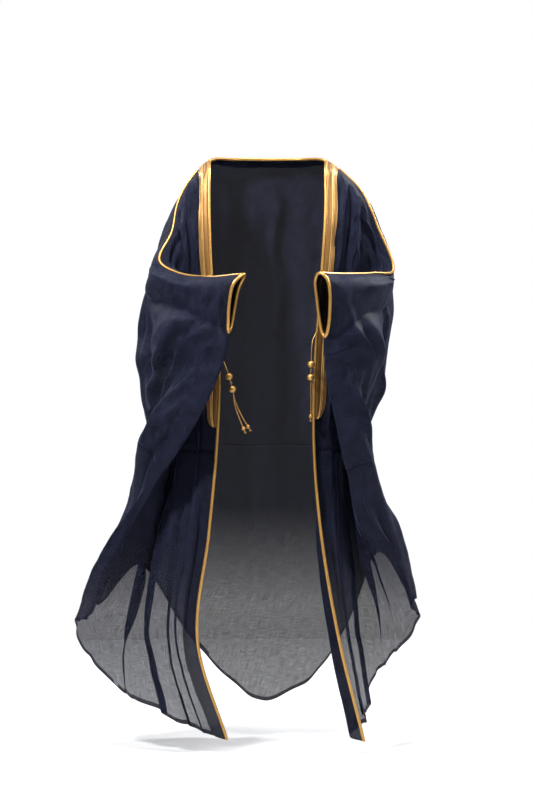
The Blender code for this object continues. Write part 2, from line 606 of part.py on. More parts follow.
def make_neck_band(grids, materials):
    """The gold band over the back of the neck and the two shoulder ends."""
    grid, normals = (values.swapaxes(0, 1) for values in grids["back_upper"])
    columns = all_columns(RIGHT_SIDE, LEFT_SIDE)
    neck_first = float(np.interp(MIDDLE - 1, columns, np.arange(len(columns))))
    neck_last = float(np.interp(MIDDLE + 1, columns, np.arange(len(columns))))
    top = grid[0]
    reach = np.concatenate([[0.0], np.cumsum(np.linalg.norm(np.diff(top, axis=0), axis=1))])
    first_reach = np.interp(neck_first, np.arange(len(reach)), reach) - BAND_WIDTH + EDGE_CORD / 2
    last_reach = np.interp(neck_last, np.arange(len(reach)), reach) + BAND_WIDTH - EDGE_CORD / 2
    first = float(np.interp(first_reach, reach, np.arange(len(reach))))
    last = float(np.interp(last_reach, reach, np.arange(len(reach))))
    across = [first] + list(range(int(first) + 1, int(last) + 1)) + [last]
    under = []
    over = []
    for stripe, relief in enumerate(BAND_RELIEF):
        share = 1 - stripe / (len(BAND_RELIEF) - 1)
        low_line = []
        high_line = []
        for column in across:
            row = column_at(grid, column, GAP + (BAND_WIDTH - EDGE_CORD) * share)
            low_line.append(on_grid(grid, normals, row, column, BAND_BASE))
            high_line.append(on_grid(grid, normals, row, column, BAND_BASE + relief))
        under.append(low_line)
        over.append(high_line)
    mesh = closed_mesh("gold_band_neck", np.array(under), np.array(over))
    new_object("gold_band_neck", mesh, materials["gold_band"])


def turned(name, profile, centre, axis, material, sides=12):
    """A turned solid: profile points are (radius, along), and the ends may be on the axis."""
    mesh = bmesh.new()
    knots = [mesh.verts.new((radius, 0.0, along)) for radius, along in profile]
    pairs = list(zip(knots, knots[1:]))
    if profile[0][0] > 0:
        pairs.append((knots[-1], knots[0]))
    lines = [mesh.edges.new(pair) for pair in pairs]
    bmesh.ops.spin(mesh, geom=knots + lines, cent=(0, 0, 0), axis=(0, 0, 1),
                   angle=2 * math.pi, steps=sides, use_merge=True)
    bmesh.ops.remove_doubles(mesh, verts=mesh.verts, dist=1e-5)
    bmesh.ops.recalc_face_normals(mesh, faces=mesh.faces)
    data = bpy.data.meshes.new(name)
    mesh.to_mesh(data)
    mesh.free()
    data.shade_smooth()
    data.set_sharp_from_angle(angle=math.radians(50))
    item = new_object(name, data, material)
    item.location = centre
    item.rotation_mode = "QUATERNION"
    item.rotation_quaternion = Vector((0, 0, 1)).rotation_difference(Vector(axis))
    return item


def bead_profile():
    """A slightly flattened ball with a bore, from the top of the bore outside to its foot."""
    points = []
    reach = math.asin(BEAD_BORE / BEAD)
    for step in range(8):
        angle = reach + (math.pi - 2 * reach) * step / 7
        points.append((BEAD / 2 * math.sin(angle), 0.92 * BEAD / 2 * math.cos(angle)))
    return points


def knot_profile():
    """A closed knot with a short tail below it."""
    points = [(0.0, END_KNOT * 0.5)]
    for step in range(1, 6):
        angle = math.pi * step / 6.6
        points.append((END_KNOT / 2 * math.sin(angle), END_KNOT / 2 * math.cos(angle)))
    points.append((CORD * 0.7, -END_KNOT * 0.62))
    points.append((CORD * 0.9, -END_KNOT * 1.30))
    points.append((0.0, -END_KNOT * 1.34))
    return points


def on_edge_piping(point, side):
    """The point moved straight to the surface of the piping on a side's front edge."""
    column = 0.0 if side == "right" else float(LEFT_EDGE)
    edge = spaced(cloth([column], all_levels(0, HEM_LEVEL), 1)[0], 0.001)
    nearest = edge[np.argmin(np.linalg.norm(edge - point, axis=1))]
    return nearest + unit(point - nearest) * (EDGE_CORD / 2 + EXIT_GAP)


def smooth_route(side, strand):
    """Points along a cord's route, moved to the part's frame."""
    line = np.array(TASSELS[side][strand]) - (0.0, 0.0, NECK_HEIGHT)
    if strand == "main":
        line[0] = on_edge_piping(line[0], side)
    fine = through(line, np.linspace(0, len(line) - 1, 40 * len(line)))
    return spaced(fine, CORD_POINTS * CORD)


def make_tassels(materials):
    """The cords that hang inside the front edges, with their beads and end knots."""
    for side, routes in TASSELS.items():
        for strand in routes:
            points = smooth_route(side, strand)
            tube(f"tassel_{strand}_cord_{side}", points, CORD, materials["gold_cord"], resolution=2)
        main = np.array(routes["main"]) - (0.0, 0.0, NECK_HEIGHT)
        for count, index in enumerate(BEAD_POINTS):
            along = main[index - 1] - main[index + 1]
            turned(f"tassel_bead_{side}_{count + 1}", bead_profile(), main[index], along,
                   materials["gold_bead"])
        ends = routes if side == "right" else ("main",)
        for strand in ends:
            line = smooth_route(side, strand)
            away = unit(line[-1] - line[-2])
            centre = line[-1] + away * (END_KNOT / 2 + GAP)
            turned(f"tassel_end_{side}_{strand}", knot_profile(), centre, -away,
                   materials["gold_bead"])


def main():
    clear_scene()
    materials = make_materials()
    grids = make_panels(materials)
    make_edge_piping(materials)
    make_seam_cords(materials)
    make_cuff_cords(materials)
    make_front_bands(grids, materials)
    make_neck_band(grids, materials)
    make_tassels(materials)


main()
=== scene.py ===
"""Looks of a bisht cloak, worn open over two bent forearms.

Each cloth panel is a fine shell on the form of its solid, with finer folds and creases.
Lengths are metres in the part's frame: +Z is up, the front faces -Y, the wearer's right
is at -X, and the origin is on the neck line.
"""
import math

import bpy
import numpy as np
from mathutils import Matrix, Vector, noise

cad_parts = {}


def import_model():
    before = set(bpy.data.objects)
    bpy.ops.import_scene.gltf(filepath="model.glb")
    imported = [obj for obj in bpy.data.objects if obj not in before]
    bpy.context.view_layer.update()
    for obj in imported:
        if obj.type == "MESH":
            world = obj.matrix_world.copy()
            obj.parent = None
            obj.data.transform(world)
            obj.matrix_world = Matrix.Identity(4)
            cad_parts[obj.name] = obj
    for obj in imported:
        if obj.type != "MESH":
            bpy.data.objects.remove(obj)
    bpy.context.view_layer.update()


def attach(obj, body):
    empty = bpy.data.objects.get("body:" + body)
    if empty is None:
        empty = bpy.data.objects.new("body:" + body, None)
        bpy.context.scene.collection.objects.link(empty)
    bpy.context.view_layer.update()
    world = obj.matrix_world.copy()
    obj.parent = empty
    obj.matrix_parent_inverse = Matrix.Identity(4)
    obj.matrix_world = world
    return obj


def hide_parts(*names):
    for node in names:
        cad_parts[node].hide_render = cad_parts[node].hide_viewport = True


# Sizes of the part, as in its solids.
NECK_HEIGHT = 1.515  # ground to the neck ends of the shoulder seams
EDGE_CORD = 0.0080  # diameter of the piping round the front edges and the neck
SEAM_CORD = 0.0070  # diameter of the cord on the shoulder and arm seams
CUFF_CORD = 0.0084  # diameter of the cord round the sleeve mouths
SEAM_CORD_STOP = 0.0100  # clearance of a slanting seam cord's end from the cuff cord
MOUTH_SPREAD = 0.7  # how far back from the lips the mouth widens the sleeve, in guides
MOUTHS = {  # from the slit line to the inner lip of each sleeve mouth: out and back
    "right": (-0.008, 0.022),
    "left": (-0.017, 0.013),
}
BAND_WIDTH = 0.038  # gold band beside the front edges and round the neck
BAND_BASE = 0.0010  # underside of the band above the middle of the cloth
BAND_END_LEVEL = {"right": 4.72, "left": 4.62}  # lower ends of the front bands
BAND_END_ROUND = 0.30  # length of the rounded end, in levels
CORD = 0.0026  # diameter of the tassel cords
EXIT_GAP = 0.0016  # from the piping to the middle of a tassel cord that leaves almost along it
BEAD = 0.0200  # diameter of the large tassel beads
END_KNOT = 0.0105  # diameter of the knots at the cord ends
ROUND_START = (0.60, 0.22)  # share of the first drop run sideways and down off a seam

# Sizes that only the looks have.
WEAVE = 0.0005  # thickness of the cloth
FINE_COLUMNS = 9  # fine steps between two columns of the solids
FINE_ROWS = 5  # fine steps between two rows of the solids
HEM_TURN = 0.011  # width of the turned and doubled hem
CUFF_TURN = 0.026  # width of the doubled strip beside a sleeve mouth
FACING = 0.046  # width of the doubled strip behind each front edge
THREAD_PITCH = 0.0009  # spacing of the threads of the weave
CRUMPLE = 0.0026  # height of the small uneven crumples
SEAM_RIDGE = 0.0016  # width of the fine ridge along a flat seam
STRAND_GROOVE = 0.14  # depth of the grooves between a cord's strands, as a share of its radius
LAYS = {  # diameter, pitch of the lay, strands, and spacing of the fine steps of each cord
    "edge": (EDGE_CORD, 0.013, 4, 0.0016),
    "seam": (SEAM_CORD, 0.012, 4, 0.0014),
    "cuff": (CUFF_CORD, 0.013, 4, 0.0014),
    "tassel": (CORD, 0.005, 3, 0.0009),
    "tail": (0.0014, 0.004, 2, 0.0008),
    "ridge": (SEAM_RIDGE, 0.004, 2, 0.004),
}
LINK_RADIUS = 0.0030  # middle line of the small ring between two beads
LINK_WIRE = 0.0006  # radius of the ring's wire
TAIL_SPREAD = 0.0028  # how far the tails of an end knot spread
LARGE_CRUMPLES = 14.0  # crumples in a metre
SMALL_CRUMPLES = (38.0, 38.0, 22.0)
FLOOR_REACH = 3.2  # radius of the pale floor
CAMERA_DISTANCE = 7.0
CAMERA_HEIGHT = 0.898  # above the ground
CAMERA_SIDE = -0.004
CAMERA_LENS = 122.0
SURROUND_LIGHT = 0.30  # strength of the surround's light
SHEER_COLOURS = ((0.0018, 0.0022, 0.0054), (0.0145, 0.0168, 0.035))  # darkest and lightest
DOUBLED_COLOURS = ((0.0014, 0.0018, 0.0045), (0.009, 0.0105, 0.022))
SHEER_FROM = -0.90  # height in the frame where the cloth starts to look more sheer
SHEER_BELOW = -1.16  # height in the frame below which it is fully sheer
CLOSE_SHARE = 0.30  # share of the see-through that is left higher up, over the body

JOIN_LEVEL = 5.0  # the horizontal seam between the two loom widths
MOUTH_LEVEL = 2.0  # the lower tip of each sleeve mouth
HEM_LEVEL = 8.0
ROWS_BETWEEN_LEVELS = (3, 3, 3, 3, 3, 4, 4, 4)

# The seam line, as out from the middle, back and height above the ground. Its places
# are nape 0, neck side 1, neck 2, shoulder 3, cap 4, arm 5, elbow 6, crook 7, forearm 8
# and cuff 9.
SEAM_LINE = {
    "right": (
        (0.000, 0.070, 1.525), (0.085, 0.056, 1.524), (0.152, 0.000, 1.515),
        (0.201, -0.005, 1.466), (0.232, -0.012, 1.406), (0.247, -0.030, 1.330),
        (0.278, -0.060, 1.256), (0.233, -0.100, 1.223), (0.160, -0.155, 1.209),
        (0.060, -0.280, 1.210),
    ),
    "left": (
        (0.000, 0.070, 1.525), (0.085, 0.056, 1.524), (0.150, 0.000, 1.515),
        (0.209, -0.005, 1.471), (0.245, -0.012, 1.430), (0.281, -0.032, 1.345),
        (0.321, -0.050, 1.231), (0.268, -0.100, 1.221), (0.197, -0.180, 1.215),
        (0.128, -0.280, 1.213),
    ),
}

# A row for each guide line down the cloth, from the front edge to the middle of the
# back: its name, its place on the seam line, then out, back and height at each level
# after the seam line (breast, waist, hip, join, thigh, shin, hem).
GUIDES = {
    "right": (
        ("edge", 2.00, (0.150, -0.095, 1.375), (0.142, -0.115, 1.190), (0.124, -0.125, 0.980),
         (0.131, -0.125, 0.770), (0.150, -0.130, 0.560), (0.179, -0.130, 0.290), (0.104, -0.120, 0.035)),
        ("turn", 2.30, (0.166, -0.092, 1.368), (0.155, -0.107, 1.185), (0.140, -0.118, 0.978),
         (0.146, -0.119, 0.770), (0.166, -0.128, 0.560), (0.194, -0.128, 0.288), (0.122, -0.124, 0.040)),
        ("strip", 3.00, (0.196, -0.080, 1.340), (0.178, -0.088, 1.170), (0.170, -0.100, 0.970),
         (0.175, -0.105, 0.770), (0.195, -0.115, 0.560), (0.224, -0.118, 0.280), (0.155, -0.122, 0.052)),
        ("chest", 4.30, (0.208, -0.082, 1.270), (0.198, -0.072, 1.130), (0.198, -0.055, 0.950),
         (0.204, -0.060, 0.770), (0.232, -0.080, 0.570), (0.268, -0.085, 0.310), (0.207, -0.105, 0.072)),
        ("pocket", 5.60, (0.232, -0.058, 1.180), (0.230, -0.026, 1.050), (0.230, 0.000, 0.920),
         (0.245, 0.005, 0.770), (0.275, 0.005, 0.580), (0.312, 0.000, 0.340), (0.268, -0.065, 0.103)),
        ("inner arm", 7.80, (0.148, -0.138, 1.120), (0.163, -0.134, 1.010), (0.217, -0.115, 0.880),
         (0.277, -0.080, 0.750), (0.332, -0.040, 0.590), (0.392, -0.010, 0.370), (0.384, -0.008, 0.152)),
        ("side fold", 9.00, (0.097, -0.270, 1.066), (0.120, -0.255, 0.970), (0.183, -0.215, 0.840),
         (0.268, -0.150, 0.710), (0.350, -0.080, 0.580), (0.440, -0.020, 0.430), (0.496, 0.030, 0.284)),
        ("outer arm", 7.80, (0.203, -0.200, 1.120), (0.222, -0.200, 1.020), (0.258, -0.175, 0.900),
         (0.308, -0.130, 0.780), (0.345, -0.068, 0.650), (0.426, 0.000, 0.490), (0.482, 0.058, 0.335)),
        ("elbow", 6.10, (0.318, -0.055, 1.160), (0.313, -0.050, 1.040), (0.315, -0.030, 0.910),
         (0.312, -0.010, 0.780), (0.328, 0.020, 0.660), (0.394, 0.055, 0.520), (0.428, 0.090, 0.375)),
        ("side", 4.90, (0.295, 0.045, 1.220), (0.300, 0.085, 1.070), (0.295, 0.095, 0.920),
         (0.295, 0.105, 0.790), (0.310, 0.125, 0.680), (0.330, 0.148, 0.580), (0.340, 0.178, 0.462)),
        ("blade", 3.30, (0.245, 0.090, 1.320), (0.250, 0.135, 1.130), (0.240, 0.155, 0.960),
         (0.230, 0.170, 0.790), (0.228, 0.190, 0.620), (0.232, 0.218, 0.450), (0.238, 0.245, 0.310)),
        ("neck", 2.00, (0.165, 0.100, 1.385), (0.165, 0.150, 1.180), (0.150, 0.170, 0.980),
         (0.135, 0.185, 0.780), (0.128, 0.205, 0.570), (0.124, 0.233, 0.345), (0.122, 0.264, 0.158)),
    ),
    "left": (
        ("edge", 2.00, (0.146, -0.095, 1.375), (0.134, -0.115, 1.190), (0.119, -0.125, 0.980),
         (0.117, -0.125, 0.770), (0.134, -0.144, 0.560), (0.180, -0.158, 0.290), (0.243, -0.152, 0.035)),
        ("turn", 2.30, (0.162, -0.092, 1.370), (0.148, -0.107, 1.190), (0.134, -0.118, 0.980),
         (0.134, -0.113, 0.770), (0.122, -0.121, 0.558), (0.155, -0.134, 0.285), (0.207, -0.130, 0.045)),
        ("strip", 3.00, (0.205, -0.078, 1.340), (0.178, -0.085, 1.170), (0.165, -0.100, 0.970),
         (0.163, -0.105, 0.770), (0.166, -0.106, 0.560), (0.194, -0.112, 0.280), (0.243, -0.108, 0.080)),
        ("chest", 4.30, (0.228, -0.080, 1.260), (0.202, -0.068, 1.130), (0.186, -0.054, 0.950),
         (0.180, -0.055, 0.770), (0.187, -0.050, 0.570), (0.212, -0.055, 0.330), (0.250, -0.062, 0.100)),
        ("pocket", 5.60, (0.252, -0.058, 1.165), (0.234, -0.026, 1.050), (0.212, -0.002, 0.910),
         (0.195, 0.015, 0.760), (0.207, 0.012, 0.570), (0.228, 0.004, 0.360), (0.257, -0.008, 0.130)),
        ("inner arm", 7.80, (0.180, -0.143, 1.120), (0.182, -0.146, 1.010), (0.197, -0.130, 0.870),
         (0.214, -0.100, 0.730), (0.240, -0.058, 0.590), (0.288, -0.018, 0.410), (0.303, 0.012, 0.225)),
        ("side fold", 9.00, (0.141, -0.272, 1.055), (0.145, -0.262, 0.965), (0.168, -0.235, 0.850),
         (0.198, -0.190, 0.720), (0.228, -0.135, 0.600), (0.308, -0.055, 0.470), (0.372, 0.020, 0.290)),
        ("outer arm", 7.80, (0.248, -0.195, 1.110), (0.250, -0.200, 0.990), (0.248, -0.185, 0.870),
         (0.256, -0.145, 0.750), (0.284, -0.090, 0.630), (0.344, -0.025, 0.500), (0.384, 0.045, 0.370)),
        ("elbow", 6.10, (0.318, -0.045, 1.140), (0.282, -0.045, 1.000), (0.264, -0.035, 0.870),
         (0.250, -0.010, 0.750), (0.278, 0.025, 0.650), (0.340, 0.060, 0.530), (0.370, 0.095, 0.385)),
        ("side", 4.90, (0.316, 0.050, 1.200), (0.292, 0.085, 1.050), (0.272, 0.090, 0.910),
         (0.254, 0.095, 0.780), (0.262, 0.115, 0.680), (0.280, 0.145, 0.590), (0.294, 0.172, 0.495)),
        ("blade", 3.30, (0.255, 0.090, 1.320), (0.255, 0.135, 1.130), (0.235, 0.155, 0.960),
         (0.215, 0.170, 0.790), (0.207, 0.190, 0.620), (0.206, 0.218, 0.450), (0.212, 0.246, 0.300)),
        ("neck", 2.00, (0.165, 0.100, 1.385), (0.165, 0.150, 1.180), (0.150, 0.170, 0.980),
         (0.135, 0.185, 0.780), (0.128, 0.205, 0.570), (0.124, 0.233, 0.345), (0.122, 0.264, 0.158)),
    ),
}
MIDDLE_BACK = ("middle", 0.00, (0.000, 0.125, 1.385), (0.000, 0.165, 1.180), (0.000, 0.180, 0.980),
               (0.000, 0.190, 0.780), (0.000, 0.208, 0.565), (0.000, 0.238, 0.315), (0.000, 0.272, 0.095))

# Places along the whole sheet, counted in guides from the right front edge.
RIGHT_FOLD = 6
RIGHT_SIDE = 9
MIDDLE = 12
LEFT_SIDE = 15
LEFT_FOLD = 18
LEFT_EDGE = 24
# The columns of front and back start from the same places on the seam line.
COLUMN_PLACES = (2.0, 2.15, 2.3, 2.65, 3.0, 3.3, 3.7, 4.1, 4.5, 4.9, 5.25, 5.6, 5.9, 6.15, 6.5, 7.0,
                 7.4, 7.8, 8.2, 8.6, 8.85, 9.0)
NECK_COLUMN_PLACES = (0.0, 0.34, 0.67, 1.0, 1.34, 1.67)

# A row for each large fold: the guide and level where its ridge starts, the guide and
# level where it ends, its half width in guides, and how far it stands out (or in).
FOLDS = (
    (1.9, 0.4, 3.2, 2.6, 0.32, 0.012),
    (2.7, 0.3, 3.9, 2.2, 0.28, -0.009),
    (2.4, 2.6, 2.7, 8.0, 0.34, -0.010),
    (3.2, 3.4, 3.3, 8.0, 0.30, 0.016),
    (4.5, 4.4, 4.4, 8.0, 0.26, 0.020),
    (5.2, 4.6, 5.1, 8.0, 0.24, -0.016),
    (6.4, 1.5, 8.5, 3.8, 0.36, 0.017),
    (6.3, 2.4, 8.4, 5.2, 0.34, -0.016),
    (6.4, 3.4, 8.0, 6.8, 0.32, 0.018),
    (6.7, 4.8, 7.3, 8.0, 0.26, -0.013),
    (8.0, 0.7, 9.0, 3.0, 0.30, -0.012),
    (8.7, 0.9, 8.5, 5.2, 0.30, 0.015),
    (15.4, 0.9, 15.7, 4.6, 0.30, 0.015),
    (16.0, 0.7, 15.0, 3.0, 0.30, -0.012),
    (17.6, 1.6, 15.6, 4.0, 0.36, 0.018),
    (17.6, 2.6, 15.7, 5.4, 0.34, -0.016),
    (17.7, 3.8, 16.3, 7.0, 0.30, 0.015),
    (17.2, 5.0, 16.9, 8.0, 0.26, -0.012),
    (18.9, 4.8, 19.0, 8.0, 0.26, 0.016),
    (19.5, 4.8, 19.6, 8.0, 0.22, -0.013),
    (21.3, 0.3, 20.1, 2.2, 0.28, -0.009),
    (22.0, 0.4, 20.8, 2.6, 0.32, 0.013),
)
# A row for each pleat down the back: its guide, the level where it starts, its half
# width in guides, and how far it stands out at the hem.
BACK_PLEATS = (
    (9.5, 1.5, 0.30, 0.020),
    (10.1, 2.2, 0.24, -0.014),
    (10.7, 1.2, 0.30, 0.024),
    (11.35, 1.9, 0.24, 0.017),
    (11.9, 1.4, 0.28, -0.016),
    (12.45, 1.6, 0.28, 0.022),
    (13.1, 2.3, 0.24, 0.015),
    (13.7, 1.3, 0.30, -0.016),
    (14.3, 1.7, 0.28, 0.021),
)

# Cord routes, with heights above the ground. Each main cord leaves the piping of a front
# edge at its first point, and each second cord leaves the main cord between two beads.
TASSELS = {
    "right": {
        "main": ((-0.1255, -0.1320, 1.030), (-0.1195, -0.1390, 1.012), (-0.1100, -0.1440, 0.990),
                 (-0.0985, -0.1470, 0.957), (-0.0900, -0.1490, 0.925), (-0.0840, -0.1500, 0.898),
                 (-0.0740, -0.1500, 0.873), (-0.0630, -0.1490, 0.851), (-0.0535, -0.1480, 0.835)),
        "second": ((-0.0880, -0.1528, 0.9110), (-0.0860, -0.1536, 0.895), (-0.0795, -0.1545, 0.870),
                   (-0.0710, -0.1550, 0.848), (-0.0640, -0.1560, 0.831)),
    },
    "left": {
        "main": ((0.1200, -0.1320, 1.070), (0.1130, -0.1400, 1.048), (0.1100, -0.1450, 1.020),
                 (0.1090, -0.1475, 0.988), (0.1080, -0.1485, 0.955), (0.1080, -0.1490, 0.925),
                 (0.1085, -0.1490, 0.895), (0.1080, -0.1490, 0.862)),
        "second": ((0.1112, -0.1488, 0.9410), (0.1128, -0.1500, 0.920), (0.1132, -0.1505, 0.893),
                   (0.1113, -0.1494, 0.862)),
    },
}
BEAD_POINTS = (3, 4)  # the route points of each main cord that carry its beads

# A row for each crease: the guide and level where it starts, the guide and level where
# it ends, its half width in guides, how far it stands out (or in), and how far it leans over
# to the next guide (or the one before).
CREASES = (
    (9.55, 0.60, 9.70, 8.0, 0.20, 0.0160, 0.000),
    (10.25, 0.50, 10.35, 6.2, 0.16, -0.0140, 0.000),
    (10.95, 0.50, 11.10, 8.0, 0.22, 0.0190, 0.006),
    (11.75, 0.70, 11.60, 8.0, 0.16, -0.0150, 0.000),
    (12.30, 0.50, 12.45, 7.0, 0.20, 0.0180, -0.005),
    (13.00, 0.60, 12.90, 8.0, 0.16, -0.0130, 0.000),
    (13.55, 0.50, 13.70, 8.0, 0.22, 0.0190, 0.006),
    (14.40, 0.60, 14.30, 8.0, 0.18, 0.0150, 0.000),
    (3.35, 5.30, 3.55, 8.0, 0.13, 0.0130, 0.030),
    (4.70, 6.00, 5.15, 8.0, 0.13, 0.0130, -0.036),
    (2.55, 5.90, 2.70, 8.0, 0.09, 0.0080, 0.014),
    (20.6, 5.30, 20.7, 8.0, 0.13, 0.0130, -0.026),
    (19.0, 5.80, 18.9, 8.0, 0.12, 0.0110, 0.020),
    (7.9, 1.90, 7.6, 4.9, 0.20, -0.0230, 0.000),
    (8.5, 1.90, 8.3, 4.9, 0.14, 0.0050, 0.006),
    (6.7, 2.20, 7.6, 5.0, 0.10, -0.0140, 0.000),
    (7.0, 2.00, 8.2, 5.0, 0.16, 0.0130, 0.008),
    (16.2, 1.90, 16.5, 4.9, 0.20, -0.0210, 0.000),
    (15.6, 1.90, 15.8, 4.9, 0.14, 0.0040, -0.006),
    (17.3, 2.20, 16.4, 5.0, 0.10, -0.0140, 0.000),
    (17.0, 2.00, 15.9, 5.0, 0.16, 0.0130, -0.008),
    (1.2, 0.35, 1.4, 3.2, 0.10, -0.0066, 0.000),
    (1.9, 0.25, 2.1, 3.4, 0.07, 0.0085, 0.005),
    (2.3, 0.30, 2.7, 2.9, 0.07, -0.0085, 0.000),
    (2.9, 0.25, 2.9, 2.4, 0.08, 0.0095, 0.006),
    (3.3, 0.35, 3.6, 2.0, 0.07, -0.0085, 0.000),
    (1.6, 2.20, 1.7, 5.0, 0.09, 0.0076, 0.004),
    (2.4, 2.60, 2.2, 5.0, 0.08, -0.0085, 0.000),
    (1.4, 5.20, 1.5, 8.0, 0.10, -0.0076, 0.000),
    (2.1, 5.40, 2.0, 8.0, 0.08, 0.0104, 0.007),
    (2.9, 5.10, 3.0, 8.0, 0.08, -0.0114, 0.000),
    (3.7, 4.90, 3.8, 8.0, 0.08, 0.0133, 0.012),
    (4.9, 5.20, 4.8, 8.0, 0.08, 0.0114, -0.011),
    (5.5, 5.60, 5.6, 8.0, 0.08, -0.0104, 0.000),
    (6.2, 1.30, 7.5, 4.2, 0.09, 0.0114, 0.007),
    (6.5, 1.50, 7.9, 4.6, 0.08, -0.0104, 0.000),
    (6.3, 2.10, 7.2, 5.2, 0.07, 0.0104, 0.008),
    (6.9, 2.00, 8.4, 5.4, 0.08, 0.0114, -0.007),
    (6.4, 3.60, 6.9, 6.2, 0.08, -0.0104, 0.000),
    (7.3, 3.00, 8.7, 5.8, 0.08, -0.0104, 0.000),
    (6.3, 5.20, 6.5, 8.0, 0.09, 0.0133, 0.012),
    (6.9, 5.90, 7.0, 8.0, 0.08, -0.0114, 0.000),
    (7.5, 5.40, 7.6, 8.0, 0.09, 0.0114, 0.010),
    (8.1, 1.20, 8.2, 3.2, 0.09, -0.0095, 0.000),
    (8.4, 1.80, 8.1, 4.8, 0.09, 0.0104, 0.006),
    (8.9, 1.40, 8.9, 4.4, 0.09, -0.0085, 0.000),
    (9.3, 0.50, 9.4, 4.8, 0.10, 0.0104, 0.006),
    (9.8, 0.60, 9.9, 5.0, 0.09, -0.0095, 0.000),
    (10.3, 0.40, 10.4, 4.6, 0.11, 0.0123, 0.010),
    (10.9, 0.70, 10.9, 5.0, 0.10, -0.0104, 0.000),
    (11.5, 0.40, 11.4, 5.0, 0.11, 0.0114, -0.008),
    (12.1, 0.60, 12.2, 5.0, 0.10, -0.0104, 0.000),
    (12.7, 0.40, 12.7, 4.7, 0.11, 0.0123, 0.010),
    (13.2, 0.70, 13.3, 5.0, 0.09, -0.0095, 0.000),
    (13.8, 0.40, 13.9, 4.8, 0.11, 0.0114, -0.008),
    (14.5, 0.60, 14.4, 4.8, 0.09, -0.0095, 0.000),
    (15.1, 0.60, 15.0, 4.6, 0.10, 0.0104, 0.006),
    (15.5, 1.30, 15.6, 4.4, 0.09, -0.0085, 0.000),
    (16.2, 1.40, 15.8, 4.6, 0.09, 0.0104, 0.006),
    (17.7, 1.20, 16.6, 4.0, 0.09, 0.0114, -0.007),
    (17.4, 1.60, 16.1, 4.4, 0.08, -0.0104, 0.000),
    (17.6, 2.40, 16.8, 5.2, 0.07, 0.0104, -0.008),
    (17.1, 2.80, 15.9, 5.6, 0.08, -0.0104, 0.000),
    (16.8, 3.80, 16.2, 6.4, 0.08, 0.0104, 0.007),
    (17.7, 5.20, 17.6, 8.0, 0.09, 0.0123, -0.011),
    (17.1, 5.90, 17.2, 8.0, 0.08, -0.0114, 0.000),
    (16.4, 5.40, 16.5, 8.0, 0.09, 0.0114, -0.008),
    (18.4, 5.40, 18.5, 8.0, 0.08, 0.0114, 0.010),
    (19.2, 5.60, 19.3, 8.0, 0.08, -0.0114, 0.000),
    (20.4, 5.20, 20.5, 8.0, 0.08, 0.0104, -0.010),
    (21.2, 5.00, 21.2, 8.0, 0.08, -0.0114, 0.000),
    (21.9, 5.40, 22.0, 8.0, 0.08, 0.0104, 0.007),
    (21.0, 0.35, 20.7, 2.2, 0.07, -0.0085, 0.000),
    (21.5, 0.25, 21.3, 2.6, 0.08, 0.0114, -0.007),
    (22.0, 0.35, 21.8, 3.0, 0.07, -0.0085, 0.000),
    (22.4, 0.25, 22.4, 3.4, 0.08, 0.0095, -0.005),
    (22.9, 0.35, 22.8, 3.2, 0.08, -0.0066, 0.000),
    (22.3, 2.60, 22.3, 5.0, 0.09, 0.0085, -0.004),
)
# A row for each crease across the guides: the level and guide where it starts, the level
# and guide where it ends, its half height in levels, and how far it stands out (or in).
CROSS_CREASES = (
    (1.05, 5.9, 1.05, 8.2, 0.55, 0.0180),
    (1.98, 6.0, 1.98, 8.5, 0.18, -0.0140),
    (1.05, 15.8, 1.05, 18.1, 0.55, 0.0180),
    (1.98, 15.5, 1.98, 18.0, 0.18, -0.0120),
    (1.30, 6.6, 1.05, 8.2, 0.10, 0.0050),
    (1.15, 15.9, 1.30, 17.4, 0.10, 0.0050),
    (0.35, 7.6, 0.95, 8.7, 0.13, -0.0055),
    (0.75, 7.5, 1.30, 8.6, 0.12, 0.0050),
    (0.30, 6.6, 0.55, 7.7, 0.10, 0.0030),
    (0.90, 2.9, 0.45, 5.2, 0.10, 0.0060),
    (1.25, 2.8, 0.75, 5.0, 0.09, -0.0060),
    (1.55, 3.0, 1.10, 5.2, 0.10, 0.0055),
    (0.85, 21.1, 0.40, 18.8, 0.10, 0.0060),
    (1.20, 21.2, 0.70, 19.0, 0.09, -0.0060),
    (1.50, 21.0, 1.05, 18.8, 0.10, 0.0055),
    (0.95, 6.5, 1.15, 7.6, 0.10, -0.0030),
    (0.35, 16.4, 0.95, 15.3, 0.13, -0.0055),
    (0.75, 16.5, 1.30, 15.4, 0.12, 0.0050),
    (0.30, 17.4, 0.50, 16.3, 0.10, 0.0030),
    (1.20, 2.6, 1.75, 3.9, 0.12, 0.0045),
    (1.60, 2.2, 2.10, 3.8, 0.12, -0.0045),
    (1.20, 21.4, 1.75, 20.1, 0.12, 0.0045),
    (1.60, 21.8, 2.10, 20.2, 0.12, -0.0045),
    (6.60, 2.0, 6.95, 5.0, 0.14, -0.0030),
    (7.30, 2.5, 7.10, 5.5, 0.12, 0.0030),
    (6.70, 19.0, 6.45, 22.0, 0.14, 0.0030),
    (7.40, 18.5, 7.20, 21.5, 0.12, -0.0030),
)
# Ridges of the sewn tucks across the sleeves: level, first guide, last guide.
TUCKS = (
    (2.52, 15.9, 17.85),
    (5.70, 6.6, 7.6),
)


